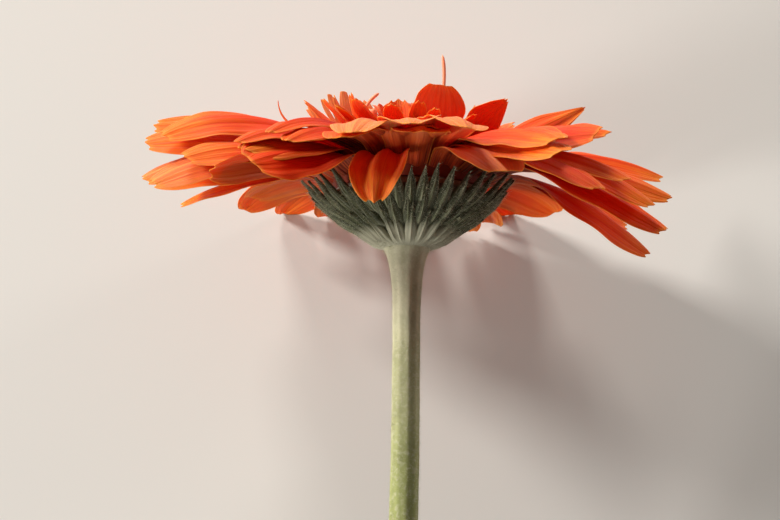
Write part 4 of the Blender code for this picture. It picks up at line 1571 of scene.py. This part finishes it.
@dataclass
class Disc:
    """The dense middle of small tubular florets, on a low dome, with a few long filaments.

    Attributes:
        count: Florets.
        field_radius: Radius of the field that they fill.
        size: Half width of a floret's mouth.
        lean: Outward lean at the field's edge, in degrees.
        length: Shortest and tallest floret.
        uneven: Share by which their lengths differ.
        sink: Height of their feet above the dome's rim.
        golden_angle: Turn from one floret to the next, in degrees.
        buds: Share of the field's radius within which the florets are closed.
        seed: Start of the chance that opens and shades the florets.
        dome: Radius and height of the seat's outline.
        dome_sides: Points round the dome.
        sides: Points round a floret.
        filament_radius: Radius of a filament near its end.
        filaments: For each filament, its foot, the point that it bends towards and its tip.
    """

    count: int = 48
    field_radius: float = 0.0101
    size: float = 0.00130
    lean: float = 12.0
    length: Pair = (0.0042, 0.0060)
    uneven: float = 0.06
    sink: float = 0.0004
    golden_angle: float = 137.508
    buds: float = 0.45
    seed: int = 61
    dome: tuple[Pair, ...] = ((0.0111, 0.0051), (0.0111, 0.0059), (0.0078, 0.0072), (0.0033, 0.0078))
    dome_sides: int = 48
    sides: int = 20
    filament_radius: float = 0.00042
    filaments: tuple[tuple[Point, Point, Point], ...] = (
        ((0.0050, 0.0036, 0.0060), (0.0088, 0.0060, 0.0180), (0.0074, 0.0058, 0.0256)),
        ((-0.0096, -0.0040, 0.0080), (-0.0094, -0.0038, 0.0124), (-0.0060, -0.0022, 0.0150)),
    )

    def floret(
        self, bundle: Bundle, foot: Array, axis: Array, azimuth: float, length: float, form: FloretForm,
        tone: float, tile: Tile,
    ) -> None:
        """Adds one floret.

        Args:
            bundle: What it joins.
            foot: Its foot on the dome.
            axis: Its direction.
            azimuth: Its place round the disc, in radians.
            length: Its length.
            form: How far it has opened.
            tone: Its own shade, from 0 to 1.
            tile: Its bake tile.
        """
        side = np.array((-math.sin(azimuth), math.cos(azimuth), 0.0))
        front = np.cross(side, axis)
        lobes, deep, wide, lip, inner_lip = form.value
        # Each ring's share of the length, half width, share of the lobes and share of the throat's colour
        profile = np.array((
            (0.0, 0.42, 0.0, 0.0),
            (0.35, 0.48, 0.02, 0.0),
            (0.62, 0.60, 0.05, 0.0),
            (0.80, 0.84 * wide, 0.30, 0.0),
            (0.92, 1.00 * wide, 0.65, 0.0),
            (1.0, lip * wide, 1.0, 0.2),
            (0.965, inner_lip * wide, 0.7, 0.7),
            (0.86, 0.38, 0.25, 1.0),
            (0.76, 0.22, 0.0, 1.0),
        ))
        level, half, share, inside = profile.T[:, :, None]
        turns = circle(self.sides)
        wave = np.cos(lobes * turns)
        radius = half * self.size * (1.0 + deep * share * 0.5 * (wave - 0.2))
        up = length * level - self.size * deep * share * 0.9 * (1.0 - wave) * 0.5
        spokes = np.cos(turns)[:, None] * side + np.sin(turns)[:, None] * front
        rings = foot + axis * up[..., None] + spokes * radius[..., None]
        points = np.concatenate((*rings, rings[0].mean(axis=0)[None], rings[-1].mean(axis=0)[None]))
        own = {
            "along": np.append(np.repeat(level, self.sides), (0.0, 0.7)),
            "across": np.append(np.tile(wave, len(profile)), (0.0, 0.0)),
            "inside": np.append(np.repeat(inside, self.sides), (0.0, 1.0)),
        }
        bundle.add(points, *tube(len(profile), self.sides, tile, flipped=True), tone=tone, **own)

    def filament(self, bundle: Bundle, path: tuple[Point, Point, Point], tile: Tile) -> None:
        """Adds one long thin filament with a rounded, slightly swollen end.

        Args:
            bundle: What it joins.
            path: Its foot, the point that it bends towards, and its tip.
            tile: Its bake tile.
        """
        rows, sides = 22, 8
        foot, knee, tip = (np.array(point) for point in path)
        share = np.linspace(0.0, 1.0, rows)[:, None]
        back = 1.0 - share
        centre = back**2 * foot + 2.0 * back * share * knee + share**2 * tip
        way = unit(back * (knee - foot) + share * (tip - knee))
        side = unit(np.cross(way, np.array((0.0, 1.0, 0.0))))
        front = np.cross(way, side)
        radius = self.filament_radius * (0.72 + 0.28 * share) * np.sqrt(1.0 - share**14 + 0.0004)
        turns = circle(sides)[:, None]
        spokes = np.cos(turns) * side[:, None] + np.sin(turns) * front[:, None]
        points = (centre[:, None] + spokes * radius[:, None]).reshape(-1, 3)
        along = 0.35 + 0.5 * np.append(np.repeat(share, sides), (0.0, 1.0))
        faces, places = tube(rows, sides, tile)
        bundle.add(np.concatenate((points, [foot, tip])), faces, places, along=along, across=0.5, tone=0.2)

    def build(self, draw: random.Random, material: Material) -> Object:
        """The disc as one piece.

        Args:
            draw: The shared source of chance, after the petals' draws.
            material: Its finish.

        Returns:
            The new object.
        """
        bundle = Bundle("disc_florets_open", ("along", "across", "inside", "tone"))
        tiles = sheet(self.count + 1 + len(self.filaments), 1.6)
        turned(bundle, self.dome, self.dome_sides, tiles[self.count], along=0.0, tone=0.3)
        choose = random.Random(self.seed)
        short, tall = self.length
        up = np.array((0.0, 0.0, 1.0))
        for k in range(self.count):
            share = math.sqrt((k + 0.5) / self.count)
            azimuth = math.radians(self.golden_angle * k)
            out = np.array((math.cos(azimuth), math.sin(azimuth), 0.0))
            foot = self.field_radius * share * out + (self.dome[0][1] + self.sink) * up
            lean = math.radians(self.lean) * share
            axis = math.sin(lean) * out + math.cos(lean) * up
            length = (short + (tall - short) * share) * draw.uniform(1 - self.uneven, 1 + self.uneven)
            outer = (FloretForm.FINGER, FloretForm.FINGER, FloretForm.STAR)
            form = FloretForm.BUD if share < self.buds else choose.choice(outer)
            self.floret(bundle, foot, axis, azimuth, length, form, choose.random(), tiles[k])
        for path, tile in zip(self.filaments, tiles[self.count + 1 :]):
            self.filament(bundle, path, tile)
        return bundle.piece(material, smoothing=70.0)


@dataclass(frozen=True)
class FloretFinish:
    """Disc florets: salmon-orange tubes with pale lobes and deep throats."""

    name: str = "floret_skin"
    run: Run = (
        (0.0, (0.58, 0.035, 0.015)),
        (0.50, (0.92, 0.12, 0.035)),
        (0.82, (1.0, 0.26, 0.09)),
        (1.0, (1.0, 0.44, 0.22)),
    )
    throat: Colour = (0.62, 0.05, 0.012)

    def material(self) -> Material:
        """The finished material."""
        sketch = Sketch(self.name)
        tone = sketch.value("tone")
        run = sketch.ramp(sketch.value("along"), self.run)
        stripe = sketch.ease(sketch.value("across"), -0.2, 0.9)
        striped = sketch.mix(stripe, run, (1.0, 0.60, 0.36), 0.45)
        toned = sketch.mix(tone, striped, (0.90, 0.14, 0.07), 0.4)
        deep = sketch.mix(sketch.value("inside"), toned, self.throat)
        grain = sketch.noise(sketch.here(), 3600.0, 3.0, 0.6)
        sketch.paint(sketch.mix(grain, deep, (0.80, 0.06, 0.01), 0.22))
        sketch.constant(Roughness=0.5, Sheen_Weight=0.3, Sheen_Roughness=0.4, Sheen_Tint=(1.0, 0.75, 0.6))
        sketch.constant(Subsurface_Weight=0.2, Subsurface_Radius=(1.0, 0.25, 0.08), Subsurface_Scale=0.001)
        sketch.bump(grain, 0.4, 0.00012)
        return sketch.material


@dataclass
class Seats:
    """The hidden seats that the petals are rooted in.

    Attributes:
        ray: Radius and height of the long petals' seat.
        trans: Those of the short petals' seat.
        sides: Points round them.
    """

    ray: tuple[Pair, ...] = ((0.0150, -0.0055), (0.0164, -0.0030), (0.0162, 0.0022))
    trans: tuple[Pair, ...] = ((0.0136, 0.0025), (0.0136, 0.0048))
    sides: int = 48

    def build(self, material: Material) -> Object:
        """Both seats as one piece."""
        bundle = Bundle("petal_seats", ("along", "across", "upper", "tone"))
        for k, outline in enumerate((self.ray, self.trans)):
            turned(bundle, outline, self.sides, Tile(k, 1, 2), along=0.05, upper=0.0, tone=0.5)
        return bundle.piece(material, smoothing=40.0)


@dataclass(frozen=True)
class StemFinish(PlantFinish):
    """The stalk's skin, with a pale moist cut face.

    Attributes:
        pith: Colour of the cut face.
    """

    pith: Colour = (0.62, 0.66, 0.36)

    def colour(self, sketch: Sketch, mottle: Socket) -> Socket:
        """The skin's colour, and the pith's where the stalk is cut."""
        return sketch.mix(sketch.value("pith"), super().colour(sketch, mottle), self.pith)


@dataclass(frozen=True)
class BractFinish(PlantFinish):
    """Bract skin, streaked lengthwise by its combed down.

    Attributes:
        streaks: Streaks across a bract.
        run_out: Their number along it.
        neck: Pale colour of their feet.
    """

    streaks: float = 4.5
    run_out: float = 2.2
    neck: Colour = (0.64, 0.62, 0.46)

    def mottle(self, sketch: Sketch) -> Socket:
        """Noise that is drawn out along the bract."""
        return sketch.noise(sketch.drawn_out(self.streaks, self.run_out), 1.6, 5.0, 0.66)

    def colour(self, sketch: Sketch, mottle: Socket) -> Socket:
        """The skin's colour, which pales to the neck's where the bracts run down onto it."""
        streaks_and_sheen = sketch.mix(mottle, self.neck, self.shade, 0.6)
        return sketch.mix(sketch.value("neck"), super().colour(sketch, mottle), streaks_and_sheen)


@dataclass(frozen=True)
class Studio:
    """The pale floor, the soft lights and the camera at the photograph's viewing angle.

    Attributes:
        elevation: How far the camera looks down, in degrees.
        distance: From the camera to its target.
        lens: Focal length in millimetres.
        sensor: Width of the picture in the camera, in millimetres.
        right: The target's offset from the head's centre to the left of the view.
        below: The target's offset down the view.
        paint: The floor's two clouded colours.
        half_floor: Half the floor's side.
        lights: Each light's name, place from the head's centre, side, power in watts and colour.
        room: Colour of the light from all round.
        room_power: Its strength.
    """

    elevation: float = 68.0
    distance: float = 0.553
    lens: float = 122.0
    sensor: float = 36.0
    right: float = 0.00376
    below: float = 0.01983
    paint: tuple[Colour, Colour] = ((0.78, 0.76, 0.73), (0.70, 0.69, 0.67))
    half_floor: float = 3.0
    lights: tuple[tuple[str, Point, float, float, Colour], ...] = (
        ("key_left", (-2.00, 1.00, 1.05), 0.50, 62.0, (1.0, 0.96, 0.90)),
        ("face_light", (-0.50, 2.10, 0.55), 0.60, 40.0, (1.0, 0.95, 0.88)),
        ("neck_left", (-1.85, -0.80, 0.60), 0.40, 24.0, (1.0, 0.98, 0.94)),
        ("rim_right", (1.90, 0.90, 0.50), 0.50, 8.0, (1.0, 0.94, 0.88)),
    )
    room: Colour = (1.0, 0.96, 0.90)
    room_power: float = 0.09

    def camera(self) -> None:
        """Places the camera and makes it the scene's own."""
        angle = math.radians(self.elevation)
        look = Vector((0.0, math.cos(angle), -math.sin(angle)))
        right = Vector((1.0, 0.0, 0.0))
        up = right.cross(look)
        target = Vector(POSE.head) - right * self.right - up * self.below
        data = bpy.data.cameras.new("camera")
        data.lens = self.lens
        data.sensor_width = self.sensor
        data.clip_start = 0.01
        made = placed("camera", data)
        turn = Matrix((right, up, -look)).transposed().to_4x4()
        made.matrix_world = Matrix.Translation(target - look * self.distance) @ turn
        bpy.context.scene.camera = made

    def floor(self) -> None:
        """A wide pale matt floor."""
        sketch = Sketch("floor_paint")
        sketch.paint(sketch.mix(sketch.noise(sketch.here(), 3.0, 3.0, 0.5), *self.paint, 0.12))
        sketch.constant(Roughness=0.85, Specular_IOR_Level=0.2)
        mesh = bpy.data.meshes.new("floor")
        half = self.half_floor
        corners = [(-half, -half, 0), (half, -half, 0), (half, half, 0), (-half, half, 0)]
        mesh.from_pydata(corners, [], [(0, 1, 2, 3)])
        mesh.materials.append(sketch.material)
        made = placed("floor", mesh)

    def light(self, name: str, place: Point, size: float, power: float, tint: Colour) -> None:
        """A square soft box that faces the head.

        Args:
            name: Its name.
            place: Where it stands, from the head's centre.
            size: Its side.
            power: Its power in watts.
            tint: Its colour.
        """
        data = bpy.data.lights.new(name, "AREA")
        data.shape = "SQUARE"
        data.size = size
        data.energy = power
        data.color = tint
        turn = Vector(place).to_track_quat("Z", "Y").to_matrix().to_4x4()
        placed(name, data).matrix_world = Matrix.Translation(Vector(POSE.head) + Vector(place)) @ turn

    def build(self) -> None:
        """Sets up the whole studio."""
        self.camera()
        self.floor()
        for light in self.lights:
            self.light(*light)
        world = bpy.data.worlds.new("room")
        world.use_nodes = True
        background = world.node_tree.nodes["Background"]
        background.inputs["Color"].default_value = (*self.room, 1.0)
        background.inputs["Strength"].default_value = self.room_power
        bpy.context.scene.world = world
        bpy.context.scene.view_settings.view_transform = "Standard"


def finish_piece(piece: Object, slot: str, *nodes: str) -> None:
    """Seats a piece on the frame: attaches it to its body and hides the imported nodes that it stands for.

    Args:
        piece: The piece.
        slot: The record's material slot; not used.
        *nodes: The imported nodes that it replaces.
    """
    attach(piece, BODY)
    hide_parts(*nodes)
    triangles = sum(len(face.vertices) - 2 for face in piece.data.polygons)
    log.info("%s: %d triangles", piece.name, triangles)


SHORT_FACE = (
    (0.0, (0.80, 0.045, 0.012)),
    (0.45, (0.96, 0.090, 0.010)),
    (0.85, (1.0, 0.155, 0.016)),
    (1.0, (1.0, 0.28, 0.05)),
)
BRACT_GREEN = BractFinish(
    "bract_skin",
    ((0.0, (0.22, 0.22, 0.13)), (0.35, (0.098, 0.110, 0.048)), (1.0, (0.070, 0.075, 0.034))),
    fleck=(0.40, 0.42, 0.28),
    shade=(0.012, 0.015, 0.006),
    fleck_share=0.75,
    fleck_scale=1500.0,
    depth=0.92,
)
STEM_GREEN = StemFinish(
    "stem_skin",
    (
        (0.0, (0.62, 0.59, 0.43)),
        (0.05, (0.60, 0.57, 0.40)),
        (0.12, (0.48, 0.48, 0.27)),
        (0.22, (0.36, 0.39, 0.14)),
        (0.45, (0.28, 0.33, 0.065)),
        (1.0, (0.22, 0.29, 0.045)),
    ),
    fleck=(0.62, 0.60, 0.42),
    shade=(0.16, 0.17, 0.06),
    fleck_share=0.5,
    fleck_scale=1100.0,
    depth=0.5,
)


def main() -> None:
    """Builds the sub-assemblies in order and sets them on the frame."""
    logging.basicConfig(level=logging.INFO, format="%(name)s: %(message)s")
    Studio().build()
    draw = random.Random(VARIETY.seed)
    petal = PetalFinish().material()
    for k, (name, ring) in enumerate(RAY_RINGS.items()):
        layer = PetalLayer(name, VARIETY.blades(ring, draw), seed=5 + k)
        finish_piece(layer.build(petal), "ray_petals", "ray_florets")
    # The short petals take painted sheen in step with their tone.
    short = PetalFinish("short_petal_skin", SHORT_FACE, SHORT_FACE, veins=3.0, painted_sheen_from=0.0).material()
    for k, (name, ring) in enumerate(TRANS_RINGS.items()):
        blades = VARIETY.blades(ring, draw)
        layer = PetalLayer(name, blades, rows=26, columns=15, thickness=0.00030, wave=0.00015, seed=15 + k)
        finish_piece(layer.build(short), "inner_petals", "trans_florets")
    finish_piece(Seats().build(petal), "ray_petals", "ray_florets", "trans_florets")
    finish_piece(Disc().build(draw, FloretFinish().material()), "disc", "disc_florets")
    down = DownFinish("pale_down", (0.50, 0.52, 0.24), (0.62, 0.60, 0.46)).material()
    for piece in Involucre().build(BRACT_GREEN.material(), down):
        finish_piece(piece, "involucre", "involucre")
    for piece in Stem().build(STEM_GREEN.material(), down):
        finish_piece(piece, "stem", "stem")


if __name__ == "__main__":
    main()
